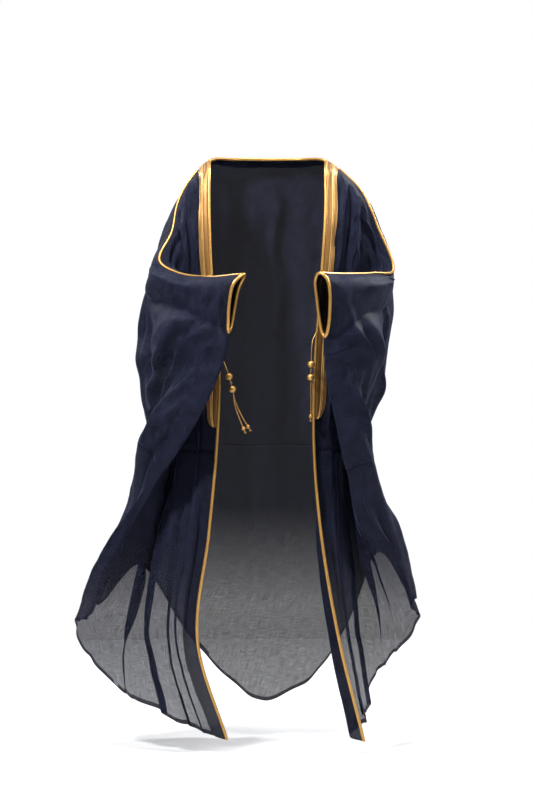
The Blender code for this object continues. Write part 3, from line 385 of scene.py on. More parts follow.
def through(points, places):
    """The centripetal curve through points along their first axis, at places counted in points."""
    step = np.linalg.norm(np.diff(points, axis=0), axis=-1, keepdims=True)
    step = np.sqrt(np.maximum(step, 1e-4))
    slope = np.diff(points, axis=0) / step
    inner = (slope[:-1] * step[1:] + slope[1:] * step[:-1]) / (step[1:] + step[:-1])
    tangent = np.concatenate([slope[:1], inner, slope[-1:]])
    places = np.clip(places, 0, len(points) - 1)
    at = np.minimum(places.astype(int), len(points) - 2)
    t = (places - at).reshape((-1,) + (1,) * (points.ndim - 1))
    start = (2 * t**3 - 3 * t**2 + 1) * points[at] + (t**3 - 2 * t**2 + t) * step[at] * tangent[at]
    end = (3 * t**2 - 2 * t**3) * points[at + 1] + (t**3 - t**2) * step[at] * tangent[at + 1]
    return start + end


def seam_line(side, places):
    """Points of a side's seam line, from the nape (0) to the cuff (9)."""
    line = through(np.array(SEAM_LINE[side]), np.asarray(places, float))
    return placed(line, side)


def placed(points, side):
    """Points with out and height turned into X and Z."""
    moved = np.array(points, float)
    moved[..., 0] *= 1.0 if side == "left" else -1.0
    moved[..., 2] -= NECK_HEIGHT
    return moved


def guide_rows():
    """Every guide from the right front edge to the left one: (side, seam place, points)."""
    right = [("right", row[1], placed(row[2:], "right")) for row in GUIDES["right"]]
    middle = ("left", MIDDLE_BACK[1], placed(MIDDLE_BACK[2:], "left"))
    left = [("left", row[1], placed(row[2:], "left")) for row in reversed(GUIDES["left"])]
    return right + [middle] + left


def seam_points(columns):
    """Where each column starts on the seam line."""
    rows = guide_rows()
    places = np.interp(columns, np.arange(len(rows)), [row[1] for row in rows])
    right = seam_line("right", places)
    left = seam_line("left", places)
    return np.where((columns <= MIDDLE)[:, None], right, left)


def mouth_opening(columns, levels, lip):
    """How far the sleeve mouth moves the cloth, towards the body (lip +1) or away (-1)."""
    moved = np.zeros((len(columns), len(levels), 3))
    height = np.clip(levels / MOUTH_LEVEL, 0.0, 1.0)
    swell = np.sqrt(np.sin(math.pi * height).clip(0.0))
    for fold, side in ((RIGHT_FOLD, "right"), (LEFT_FOLD, "left")):
        out, back = MOUTHS[side]
        across = np.array((out if side == "left" else -out, back, 0.0))
        near = np.exp(-(((columns - fold) / MOUTH_SPREAD) ** 2))
        moved += lip * near[:, None, None] * swell[None, :, None] * across
    return moved


def smooth(values):
    """0 below 0, 1 above 1, and a soft rise between."""
    values = np.clip(values, 0.0, 1.0)
    return values * values * (3 - 2 * values)


def fold_heights(columns, levels):
    """How far the folds stand out of the plain sheet."""
    column, level = np.meshgrid(columns, levels, indexing="ij")
    height = np.zeros_like(column)
    for start, top, end, bottom, half_width, depth in FOLDS:
        share = (level - top) / (bottom - top)
        ridge = start + (end - start) * share
        ends = smooth(share / 0.3)
        if bottom < HEM_LEVEL:
            ends = ends * smooth((1 - share) / 0.3)
        height += depth * ends * np.exp(-(((column - ridge) / half_width) ** 2))
    for pleat, top, half_width, depth in BACK_PLEATS:
        ridge = np.exp(-(((column - pleat) / half_width) ** 2))
        height += depth * smooth((level - top) / (HEM_LEVEL - top)) * ridge
    return height


def plain_cloth(columns, levels):
    """Points of the sheet without its folds and sleeve mouths."""
    below = through(np.array([row[2] for row in guide_rows()]), columns)
    top = seam_points(columns)
    drop = below[:, 0] - top
    sideways, down = ROUND_START
    round_off = top + drop * (sideways, sideways, down)
    lines = np.concatenate([top[:, None], round_off[:, None], below], axis=1)
    return np.swapaxes(through(np.swapaxes(lines, 0, 1), levels), 0, 1)


def outward(surface, columns, levels):
    """Directions square to a surface, away from the body."""
    step = 0.02
    across = surface(columns + step, levels) - surface(columns - step, levels)
    down = surface(columns, levels + step) - surface(columns, levels - step)
    return unit(np.cross(across, down))


def cloth(columns, levels, lip):
    """Points in the middle of the cloth, by column (in guides) and level."""
    columns = np.asarray(columns, float)
    levels = np.asarray(levels, float)
    folds = outward(plain_cloth, columns, levels) * fold_heights(columns, levels)[..., None]
    return plain_cloth(columns, levels) + folds + mouth_opening(columns, levels, lip)


def unit(vectors):
    return vectors / np.maximum(np.linalg.norm(vectors, axis=-1, keepdims=True), 1e-12)


def point_directions(points):
    """Directions out of a grid at its points, from the facets beside each point."""
    facets = np.cross(points[1:, 1:] - points[:-1, :-1], points[:-1, 1:] - points[1:, :-1])
    around = np.pad(unit(facets), ((1, 1), (1, 1), (0, 0)))
    return unit(around[1:, 1:] + around[1:, :-1] + around[:-1, 1:] + around[:-1, :-1])


def between(places, first, last):
    """Which places lie from first to last."""
    return (places > first - 1e-6) & (places < last + 1e-6)


def steps(counts, first, last):
    """Places from first to last, with counts of steps between whole numbers."""
    places = [float(first)]
    for index in range(int(first), int(last)):
        places += [index + (step + 1) / counts[index] for step in range(counts[index])]
    return np.array(places)


def half_columns(side):
    """Columns of one half, from its front edge to the middle back, in guides."""
    places = [row[1] for row in GUIDES[side]]
    front = np.interp(COLUMN_PLACES, places[:RIGHT_FOLD + 1], range(RIGHT_FOLD + 1))
    back_places = [0.0] + places[:RIGHT_FOLD - 1:-1]
    from_middle = np.interp(NECK_COLUMN_PLACES + COLUMN_PLACES[:-1], back_places, range(RIGHT_FOLD + 1))
    return np.concatenate([front, MIDDLE - from_middle[::-1]])


def all_columns(first, last):
    right = half_columns("right")
    left = LEFT_EDGE - half_columns("left")[-2::-1]
    columns = np.concatenate([right, left])
    return columns[between(columns, first, last)]


def all_levels(first, last):
    return steps(ROWS_BETWEEN_LEVELS, first, last)


def centred(values):
    """1 at 0 and nearly 0 beyond 2."""
    return np.exp(-values**2)


def crease_moves(columns, levels):
    """How far the finer creases stand out of the folded sheet, and how far they lean sideways."""
    column, level = np.meshgrid(columns, levels, indexing="ij")
    height = np.zeros_like(column)
    lean = np.zeros_like(column)
    for start, top, end, bottom, half_width, depth, side in CREASES:
        share = (level - top) / (bottom - top)
        ridge = start + (end - start) * share + 0.05 * np.sin(5 * level + 3 * start)
        ends = smooth(share / 0.35)
        if bottom < HEM_LEVEL:
            ends = ends * smooth((1 - share) / 0.35)
        raised = ends * centred((column - ridge) / half_width)
        height += depth * raised
        lean += side * raised
    for start, first, end, last, half_height, depth in CROSS_CREASES:
        share = (column - first) / (last - first)
        ridge = start + (end - start) * share + 0.04 * np.sin(6 * column + 2 * start)
        ends = smooth(share / 0.25) * smooth((1 - share) / 0.35)
        height += depth * ends * centred((level - ridge) / half_height)
    held = detail_share(columns, levels)
    return height * held, lean * held


def detail_share(columns, levels):
    """0 where the cloth is held by a cord or a band, 1 where it falls freely."""
    from_edge = np.minimum(columns, LEFT_EDGE - columns)
    across = smooth((from_edge - 0.5) / 1.0)
    down = smooth(levels / 0.35)
    return across[:, None] * down[None, :]


def crumples(points):
    """Small uneven heights over a grid of points."""
    flat = points.reshape(-1, 3)
    large = [noise.noise(Vector(point) * LARGE_CRUMPLES) for point in flat]
    small = [noise.noise(Vector(point)) for point in flat * SMALL_CRUMPLES]
    return (np.array(large) + 0.6 * np.array(small)).reshape(points.shape[:2])


def fine_cloth(columns, levels, lip):
    """Points of the sheet with its large folds, fine creases and crumples."""
    columns = np.asarray(columns, float)
    levels = np.asarray(levels, float)
    base = cloth(columns, levels, lip)
    out = outward(plain_cloth, columns, levels)
    across = unit(plain_cloth(columns + 0.02, levels) - plain_cloth(columns - 0.02, levels))
    height, lean = crease_moves(columns, levels)
    height += CRUMPLE * crumples(plain_cloth(columns, levels)) * detail_share(columns, levels)
    return base + out * height[..., None] + across * lean[..., None]


def lengths_along(grid, axis):
    """Distance of each point of a grid from the grid's start along an axis."""
    runs = np.linalg.norm(np.diff(grid, axis=axis), axis=2)
    return np.concatenate([np.zeros_like(np.take(runs, [0], axis)), np.cumsum(runs, axis=axis)], axis=axis)


def new_mesh(name, points, faces, uv=None, face_slots=None):
    mesh = bpy.data.meshes.new(name)
    mesh.from_pydata(points.tolist(), [], faces.tolist())
    if uv is not None:
        layer = mesh.uv_layers.new(name="cut")
        corners = np.empty(len(mesh.loops), np.int32)
        mesh.loops.foreach_get("vertex_index", corners)
        layer.data.foreach_set("uv", uv[corners].ravel())
    if face_slots is not None:
        mesh.polygons.foreach_set("material_index", face_slots.astype(np.int32))
    mesh.shade_smooth()
    mesh.update()
    return mesh


def new_object(name, data, *materials):
    item = bpy.data.objects.new(name, data)
    bpy.context.scene.collection.objects.link(item)
    for material in materials:
        item.data.materials.append(material)
    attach(item, "root")
    return item


def grid_faces(count_across, count_down, start=0, flipped=False):
    """Four-sided faces over a grid of points that is stored column by column."""
    i, j = np.meshgrid(np.arange(count_across - 1), np.arange(count_down - 1), indexing="ij")
    a = start + i * count_down + j
    b = a + count_down
    corners = [a, b, b + 1, a + 1]
    if flipped:
        corners = corners[::-1]
    return np.stack(corners, axis=-1).reshape(-1, 4)


def rim_faces(count_across, count_down):
    """Faces that close the rim between an upper grid and a lower one stored after it."""
    last_column = (count_across - 1) * count_down
    rim = [i * count_down for i in range(count_across)]
    rim += [last_column + j for j in range(1, count_down)]
    rim += [i * count_down + count_down - 1 for i in range(count_across - 2, -1, -1)]
    rim += [j for j in range(count_down - 2, 0, -1)]
    rim = np.array(rim)
    after = np.roll(rim, -1)
    below = count_across * count_down
    return np.stack([rim, rim + below, after + below, after], axis=-1)


def shell(name, over, under, uv, slots=None):
    """A closed shell between two grids of points."""
    across, down = over.shape[:2]
    points = np.concatenate([over.reshape(-1, 3), under.reshape(-1, 3)])
    over_faces = grid_faces(across, down)
    under_faces = grid_faces(across, down, across * down, True)
    faces = [over_faces, under_faces, rim_faces(across, down)]
    flat = uv.reshape(-1, 2)
    face_slots = None
    if slots is not None:
        each = slots.reshape(-1)
        face_slots = np.concatenate([each, each, np.ones(len(faces[2]))])
    return new_mesh(name, points, np.concatenate(faces), np.concatenate([flat, flat]), face_slots)


def finer(places, count):
    """Places with count steps between each two."""
    inner = np.arange(len(places) * count - count + 1) / count
    return np.interp(inner, np.arange(len(places)), places)


PANELS = (  # name, first and last guide, top and bottom level, side of the sleeve mouths
    ("right_front_upper", 0, RIGHT_FOLD, 0, JOIN_LEVEL, 1),
    ("right_front_lower", 0, RIGHT_FOLD, JOIN_LEVEL, HEM_LEVEL, 1),
    ("right_sleeve", RIGHT_FOLD, RIGHT_SIDE, 0, JOIN_LEVEL, -1),
    ("back_upper", RIGHT_SIDE, LEFT_SIDE, 0, JOIN_LEVEL, -1),
    ("left_sleeve", LEFT_SIDE, LEFT_FOLD, 0, JOIN_LEVEL, -1),
    ("back_lower", RIGHT_FOLD, LEFT_FOLD, JOIN_LEVEL, HEM_LEVEL, -1),
    ("left_front_upper", LEFT_FOLD, LEFT_EDGE, 0, JOIN_LEVEL, 1),
    ("left_front_lower", LEFT_FOLD, LEFT_EDGE, JOIN_LEVEL, HEM_LEVEL, 1),
)


def doubled(points, columns, levels):
    """1 for each face of a panel that has two layers: hem, facings and cuff strips."""
    middle = (points[1:, 1:] + points[:-1, :-1]) / 2
    across = lengths_along(points, 0)
    from_first = (across[1:, 1:] + across[:-1, :-1]) / 2
    from_last = across[-1, :-1] - from_first
    down = lengths_along(points, 1)
    from_bottom = down[:-1, -1:] - (down[1:, 1:] + down[:-1, :-1]) / 2
    two = np.zeros(middle.shape[:2], bool)
    if levels[-1] == HEM_LEVEL:
        two |= from_bottom < HEM_TURN
    beside_mouth = ((levels[1:] + levels[:-1]) / 2 < MOUTH_LEVEL)[None, :]
    for place, distance in ((columns[0], from_first), (columns[-1], from_last)):
        if place in (0, LEFT_EDGE):
            two |= distance < FACING
        else:
            two |= beside_mouth & (distance < CUFF_TURN)
    return two.astype(int)


def make_panels(materials):
    """The eight cloth panels."""
    made = {}
    for name, first, last, top, bottom, lip in PANELS:
        columns = finer(all_columns(first, last), FINE_COLUMNS)
        levels = finer(all_levels(top, bottom), FINE_ROWS)
        points = fine_cloth(columns, levels, lip)
        out = point_directions(points) * WEAVE / 2
        uv = np.stack([lengths_along(points, 0), lengths_along(points, 1)], axis=-1)
        mesh = shell(name, points + out, points - out, uv, doubled(points, columns, levels))
        panel = new_object(f"{name}_cloth", mesh, materials["cloth"], materials["doubled"])
        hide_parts(name)
        made[name] = panel
    return made


def frames_along(path, closed=False):
    """Two side directions at each point of a path, which turn as little as they can."""
    if closed:
        run = np.roll(path, -1, axis=0) - np.roll(path, 1, axis=0)
    else:
        run = np.gradient(path, axis=0)
    run = unit(run)
    side = unit(np.cross(run[0], (0.0, 0.3, 1.0)))
    sides = []
    for direction in run:
        side = unit(side - direction * side.dot(direction))
        sides.append(side)
    sides = np.array(sides)
    return sides, np.cross(run, sides)


def spaced(points, spacing):
    """Points at an even spacing along a line of points."""
    reach = np.concatenate([[0.0], np.cumsum(np.linalg.norm(np.diff(points, axis=0), axis=1))])
    wanted = np.linspace(0.0, reach[-1], max(2, round(reach[-1] / spacing)) + 1)
    return np.column_stack([np.interp(wanted, reach, points[:, axis]) for axis in range(3)])


def tube_faces(count, sides, closed):
    """Four-sided faces round a tube that is stored ring by ring."""
    i, j = np.meshgrid(np.arange(count if closed else count - 1), np.arange(sides), indexing="ij")
    after = (j + 1) % sides
    next_ring = (i + 1) % count
    corners = [i * sides + j, i * sides + after, next_ring * sides + after, next_ring * sides + j]
    return np.stack(corners, axis=-1).reshape(-1, 4)


def rope(name, path, lay, material, closed=False, sides=14):
    """A laid cord of metal thread along a path, with its strands raised. lay is a row of LAYS."""
    diameter, pitch, strands, spacing = lay
    line = spaced(path, spacing)
    if closed:
        line = line[:-1]
    first, second = frames_along(line, closed)
    run = np.linalg.norm(np.diff(line, axis=0), axis=1)
    reach = np.concatenate([[0.0], np.cumsum(run)])
    turns = reach / pitch
    if closed:
        turns *= round(strands * turns[-1]) / (strands * turns[-1])
    angle = 2 * math.pi * np.arange(sides) / sides
    turned = strands / 2 * (angle[None, :] - 2 * math.pi * turns[:, None])
    radius = diameter / 2 * (1 - STRAND_GROOVE + STRAND_GROOVE * np.sqrt(abs(np.cos(turned))))
    around = np.cos(angle)[None, :, None] * first[:, None]
    around = around + np.sin(angle)[None, :, None] * second[:, None]
    rings = line[:, None] + around * radius[..., None]
    count = len(line)
    faces = tube_faces(count, sides, closed).tolist()
    if not closed:
        faces.append(list(range(sides))[::-1])
        faces.append([(count - 1) * sides + k for k in range(sides)])
    mesh = bpy.data.meshes.new(name)
    mesh.from_pydata(rings.reshape(-1, 3).tolist(), [], faces)
    mesh.shade_smooth()
    mesh.update()
    return new_object(name, mesh, material), line


def make_piping(materials):
    """The gold cords round the front edges, the neck and the sleeve mouths, and on the arms."""
    levels = finer(all_levels(0, HEM_LEVEL), FINE_ROWS)
    right = fine_cloth([0.0], levels, 1)[0][::-1]
    left = fine_cloth([float(LEFT_EDGE)], levels, 1)[0]
    neck = cloth(finer(all_columns(MIDDLE - 1, MIDDLE + 1), FINE_COLUMNS)[1:-1], [0.0], -1)[:, 0]
    line = np.concatenate([right, neck, left])
    piping, _ = rope("edge_piping_gold", line, LAYS["edge"], materials["gold_cord"])
    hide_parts("edge_piping")
    for side in ("right", "left"):
        line = spaced(seam_line(side, finer(np.array(COLUMN_PLACES), FINE_COLUMNS)), 0.001)
        reach = np.concatenate([[0.0], np.cumsum(np.linalg.norm(np.diff(line, axis=0), axis=1))])
        kept = (reach > BAND_WIDTH) & (reach < reach[-1] - CUFF_CORD / 2 - SEAM_CORD_STOP / 2)
        name = f"arm_seam_cord_{side}"
        cord, _ = rope(f"{name}_gold", line[kept], LAYS["seam"], materials["gold_cord"])
        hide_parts(name)
    mouth_levels = finer(all_levels(0, MOUTH_LEVEL), FINE_ROWS)
    for side, fold in (("right", RIGHT_FOLD), ("left", LEFT_FOLD)):
        inner = fine_cloth([float(fold)], mouth_levels, 1)[0]
        outer = fine_cloth([float(fold)], mouth_levels, -1)[0]
        loop = np.concatenate([inner, outer[-2::-1]])
        name = f"cuff_cord_{side}"
        cord, _ = rope(f"{name}_gold", loop, LAYS["cuff"], materials["gold_cord"], closed=True)
        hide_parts(name)


def band_relief(share):
    """Height of a gold band over its base, from its outer side (0) to the piping (1)."""
    ribs = 0.0
    for place in (0.36, 0.50):
        ribs = max(ribs, 0.0016 * math.sqrt(max(0.0, 1 - ((share - place) / 0.055) ** 2)))
    edge = min(1.0, share / 0.05, (1 - share) / 0.03)
    border = 0.0005 * max(0.0, 1 - abs(share - 0.07) / 0.05)
    padding = 0.0006 * math.sin(math.pi * min(1.0, max(0.0, (share - 0.58) / 0.42)))
    return 0.0002 + max(0.0, edge) * (0.0007 + ribs + border + padding)


BAND_SHARES = np.concatenate([
    np.linspace(0.0, 0.28, 7), np.linspace(0.30, 0.56, 27), np.linspace(0.60, 1.0, 11),
])


def across_sheet(line, distance):
    """The fractional index that lies at a distance from the start of a line of points."""
    reach = np.concatenate([[0.0], np.cumsum(np.linalg.norm(np.diff(line, axis=0), axis=1))])
    return float(np.interp(distance, reach, np.arange(len(reach))))


def at_index(values, index):
    low = min(int(index), len(values) - 2)
    return values[low] + (values[low + 1] - values[low]) * (index - low)


def band_mesh(name, lines, outs, widths, starts):
    """A band over lines of cloth points, each line running from the piping into the cloth."""
    over = []
    under = []
    uv = []
    middle_line = np.array([line[0] for line in lines])
    reach = np.concatenate([[0.0], np.cumsum(np.linalg.norm(np.diff(middle_line, axis=0), axis=1))])
    for share in BAND_SHARES:
        high = []
        low = []
        flat = []
        for line, out, width, start, along in zip(lines, outs, widths, starts, reach):
            index = across_sheet(line, start + width * (1 - share))
            point = at_index(line, index)
            direction = unit(at_index(out, index))
            low.append(point + direction * BAND_BASE)
            high.append(point + direction * (BAND_BASE + band_relief(share)))
            flat.append((share, along))
        over.append(high)
        under.append(low)
        uv.append(flat)
    return shell(name, np.array(over), np.array(under), np.array(uv))


def make_bands(materials):
    """Gold bands down both front edges, with rounded ends, and round the neck."""
    near = finer(all_columns(0, 3), 2)
    for side in ("right", "left"):
        columns = near if side == "right" else LEFT_EDGE - near
        end = BAND_END_LEVEL[side]
        rounded = end - BAND_END_ROUND
        turn = np.sin(np.linspace(0, math.pi / 2, 22))[1:]
        levels = np.concatenate([np.linspace(0.0, rounded, 130), rounded + BAND_END_ROUND * turn])
        order = columns if side == "right" else columns[::-1]
        grid = fine_cloth(order, levels, 1)
        out = point_directions(grid)
        if side == "left":
            grid, out = grid[::-1], out[::-1]
        bend = np.clip((levels - rounded) / BAND_END_ROUND, 0.0, 1.0)
        widths = (BAND_WIDTH - EDGE_CORD) * (0.25 + 0.75 * np.sqrt(1 - bend**2))
        starts = np.full(len(levels), EDGE_CORD / 2)
        name = f"gold_band_{side}"
        mesh = band_mesh(name, list(grid.swapaxes(0, 1)), list(out.swapaxes(0, 1)), widths, starts)
        band = new_object(f"{name}_zari", mesh, materials["gold_band"])
        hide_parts(name)
    columns = finer(all_columns(MIDDLE - 2, MIDDLE + 2), FINE_COLUMNS)
    levels = np.linspace(0.0, 1.6, 40)
    grid = fine_cloth(columns, levels, -1)
    out = point_directions(grid)
    reach = lengths_along(grid, 0)[:, 0]
    neck_first = np.interp(MIDDLE - 1, columns, reach) - BAND_WIDTH + EDGE_CORD / 2
    neck_last = np.interp(MIDDLE + 1, columns, reach) + BAND_WIDTH - EDGE_CORD / 2
    kept = (reach > neck_first) & (reach < neck_last)
    widths = np.full(kept.sum(), BAND_WIDTH - EDGE_CORD)
    starts = np.full(kept.sum(), EDGE_CORD / 2)
    mesh = band_mesh("gold_band_neck", list(grid[kept]), list(out[kept]), widths, starts)
    band = new_object("gold_band_neck_zari", mesh, materials["gold_band"])
    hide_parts("gold_band_neck")


def make_seam_ridges(materials):
    """Fine ridges where the loom widths are joined and where the sleeves have a tuck."""
    runs = [(JOIN_LEVEL, 0.35, RIGHT_FOLD, 1), (JOIN_LEVEL, RIGHT_FOLD, LEFT_FOLD, -1),
            (JOIN_LEVEL, LEFT_FOLD, LEFT_EDGE - 0.35, 1)]
    runs += [(level, first, last, -1) for level, first, last in TUCKS]
    lines = []
    for level, first, last, lip in runs:
        columns = np.linspace(first, last, int((last - first) * 48))
        grid = fine_cloth(columns, np.array([level - 0.01, level, level + 0.01]), lip)
        lines.append(grid[:, 1] + point_directions(grid)[:, 1] * SEAM_RIDGE / 5)
    for side in (RIGHT_SIDE, LEFT_SIDE):
        levels = finer(all_levels(0, JOIN_LEVEL)[1:], FINE_ROWS)
        grid = fine_cloth(np.array([side - 0.01, side, side + 0.01]), levels, -1)
        lines.append(grid[1] + point_directions(grid)[1] * SEAM_RIDGE / 5)
    for count, line in enumerate(lines):
        ridge, _ = rope(f"seam_ridge_{count + 1}", line, LAYS["ridge"], materials["doubled"], sides=8)


def on_edge_piping(point, side):
    """The point moved straight to the surface of the piping on a side's front edge."""
    column = 0.0 if side == "right" else float(LEFT_EDGE)
    edge = spaced(cloth([column], all_levels(0, HEM_LEVEL), 1)[0], 0.001)
    nearest = edge[np.argmin(np.linalg.norm(edge - point, axis=1))]
    return nearest + unit(point - nearest) * (EDGE_CORD / 2 + EXIT_GAP)


def cord_route(side, strand):
    """Fine points along a cord's route, in the part's frame."""
    line = np.array(TASSELS[side][strand]) - (0.0, 0.0, NECK_HEIGHT)
    if strand == "main":
        line[0] = on_edge_piping(line[0], side)
    fine = through(line, np.linspace(0, len(line) - 1, 40 * len(line)))
    return spaced(fine, 0.0005)


def along_axis(mesh_points, centre, axis):
    """Points of a piece made along Z, turned to an axis and moved to a centre."""
    turn = Vector((0, 0, 1)).rotation_difference(Vector(axis))
    turned = np.array([turn @ Vector(point) for point in mesh_points])
    return turned + np.array(centre)


def make_bead(name, centre, axis, material):
    """A ball wound with metal thread: ribs from pole to pole and a groove round the middle."""
    rings = 25
    sides = 60
    polar = np.linspace(0.18, math.pi - 0.18, rings)
    angle = 2 * math.pi * np.arange(sides) / sides
    ribs = 1 + 0.035 * abs(np.cos(7.5 * angle))[None, :] * np.sin(polar)[:, None]
    groove = 1 - 0.10 * centred((polar - math.pi / 2) / 0.09)[:, None]
    radius = BEAD / 2 * 0.965 * ribs * groove
    points = np.stack([
        radius * np.sin(polar)[:, None] * np.cos(angle)[None, :],
        radius * np.sin(polar)[:, None] * np.sin(angle)[None, :],
        0.92 * radius * np.cos(polar)[:, None],
    ], axis=-1)
    return closed_turning(name, points, centre, axis, material)


def closed_turning(name, rings, centre, axis, material):
    """A closed piece from rings of points stacked along Z."""
    count, sides = rings.shape[:2]
    faces = tube_faces(count, sides, False)[:, [0, 3, 2, 1]].tolist()
    faces.append(list(range(sides)))
    faces.append([(count - 1) * sides + k for k in range(sides)][::-1])
    mesh = bpy.data.meshes.new(name)
    mesh.from_pydata(along_axis(rings.reshape(-1, 3), centre, axis).tolist(), [], faces)
    mesh.shade_smooth()
    mesh.update()
    return new_object(name, mesh, material)


def make_link(name, centre, axis, material):
    """The small metal ring between the two beads of a cord."""
    rings = 24
    sides = 8
    big = 2 * math.pi * np.arange(rings) / rings
    small = 2 * math.pi * np.arange(sides) / sides
    spoke = LINK_RADIUS + LINK_WIRE * np.cos(small)[None, :]
    across = spoke * np.cos(big)[:, None]
    up = spoke * np.sin(big)[:, None]
    through_ring = np.broadcast_to(LINK_WIRE * np.sin(small), across.shape)
    points = np.stack([across, through_ring, up], axis=-1)
    placed_points = along_axis(points.reshape(-1, 3), centre, axis)
    mesh = new_mesh(name, placed_points, tube_faces(rings, sides, True))
    return new_object(name, mesh, material)


def make_end(name, centre, axis, material):
    """A cord's end knot with short spread tails."""
    rings = 14
    sides = 20
    polar = np.linspace(0.15, math.pi - 0.4, rings)
    angle = 2 * math.pi * np.arange(sides) / sides
    lay = 1 + 0.06 * np.cos(5 * angle[None, :] + 2.5 * polar[:, None])
    radius = END_KNOT / 2 * 0.93 * lay * np.sin(polar)[:, None]
    height = np.broadcast_to(END_KNOT / 2 * np.cos(polar)[:, None], radius.shape)
    points = np.stack([radius * np.cos(angle), radius * np.sin(angle), height], axis=-1)
    knot = closed_turning(name, points, centre, axis, material)
    tails = []
    for count in range(5):
        turn = 2 * math.pi * count / 5
        foot = np.array((TAIL_SPREAD * math.cos(turn), TAIL_SPREAD * math.sin(turn), -END_KNOT * 1.30))
        line = np.array([(0.0, 0.0, -END_KNOT * 0.35), foot * (0.35, 0.35, 0.6), foot])
        line = along_axis(through(line, np.linspace(0, 2, 9)), centre, axis)
        tail, _ = rope(f"{name}_tail_{count + 1}", line, LAYS["tail"], material, sides=6)
        tails.append(tail)
    return knot, tails


def make_tassels(materials):
    """The tassel cords along their routes, with their beads, links and end knots."""
    for side, routes in TASSELS.items():
        main = np.array(routes["main"]) - (0.0, 0.0, NECK_HEIGHT)
        for strand in routes:
            route = cord_route(side, strand)
            name = f"tassel_{strand}_cord_{side}"
            cord, line = rope(f"{name}_gold", route, LAYS["tassel"], materials["gold_cord"], sides=10)
            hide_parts(name)
            on_cord = []
            if strand == "main":
                for count, index in enumerate(BEAD_POINTS):
                    bead_name = f"tassel_bead_{side}_{count + 1}"
                    bead = make_bead(f"{bead_name}_wound", main[index], main[index - 1] - main[index + 1],
                                     materials["gold_bead"])
                    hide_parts(bead_name)
                    on_cord.append(bead)
                upper, lower = main[BEAD_POINTS[0]], main[BEAD_POINTS[1]]
                ring = make_link(f"tassel_link_{side}", (upper + lower) / 2, upper - lower, materials["steel"])
                on_cord.append(ring)
            if strand == "main" or side == "right":
                away = unit(line[-1] - line[-4])
                end_name = f"tassel_end_{side}_{strand}"
                knot, tails = make_end(f"{end_name}_tied", line[-1] + away * END_KNOT / 2, -away,
                                       materials["gold_bead"])
                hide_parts(end_name)
                on_cord += [knot] + tails


def shader_of(material):
    material.use_nodes = True
    return material.node_tree.nodes["Principled BSDF"]


def add_node(material, kind, **values):
    """A shader node with its properties and input values set by name."""
    node = material.node_tree.nodes.new(kind)
    for name, value in values.items():
        if name in node.inputs:
            node.inputs[name].default_value = value
        else:
            setattr(node, name, value)
    return node


def link(material, source, target):
    material.node_tree.links.new(source, target)


def cut_coordinates(material, scale):
    """Coordinates in the flat cut of the cloth, in metres times a scale."""
    uv = add_node(material, "ShaderNodeUVMap", uv_map="cut")
    mapping = add_node(material, "ShaderNodeMapping")
    mapping.inputs["Scale"].default_value = scale
    link(material, uv.outputs["UV"], mapping.inputs["Vector"])
    return mapping.outputs["Vector"]


def colour_ramp(material, stops):
    ramp = add_node(material, "ShaderNodeValToRGB")
    elements = ramp.color_ramp.elements
    while len(elements) < len(stops):
        elements.new(0.5)
    for element, (place, colour) in zip(elements, stops):
        element.position = place
        element.color = (*colour, 1.0)
    return ramp


def cloth_opacity(material, threads, most):
    """Opacity of one surface of the cloth, least near the hem and uneven along the threads."""
    place = add_node(material, "ShaderNodeTexCoord")
    split = add_node(material, "ShaderNodeSeparateXYZ")
    link(material, place.outputs["Object"], split.inputs["Vector"])
    height = add_node(material, "ShaderNodeMapRange")
    height.inputs["From Min"].default_value = SHEER_FROM
    height.inputs["From Max"].default_value = SHEER_BELOW
    height.inputs["To Min"].default_value = CLOSE_SHARE * most
    height.inputs["To Max"].default_value = most
    link(material, split.outputs["Z"], height.inputs["Value"])
    uneven = add_node(material, "ShaderNodeMapRange")
    uneven.inputs["From Min"].default_value = 0.75
    uneven.inputs["From Max"].default_value = 1.25
    uneven.inputs["To Min"].default_value = 1.22
    uneven.inputs["To Max"].default_value = 0.76
    link(material, threads, uneven.inputs["Value"])
    opened = add_node(material, "ShaderNodeMath", operation="MULTIPLY")
    link(material, height.outputs["Result"], opened.inputs[0])
    link(material, uneven.outputs["Result"], opened.inputs[1])
    opacity = add_node(material, "ShaderNodeMath", operation="SUBTRACT")
    opacity.inputs[0].default_value = 1.0
    link(material, opened.outputs[0], opacity.inputs[1])
    return opacity.outputs[0]


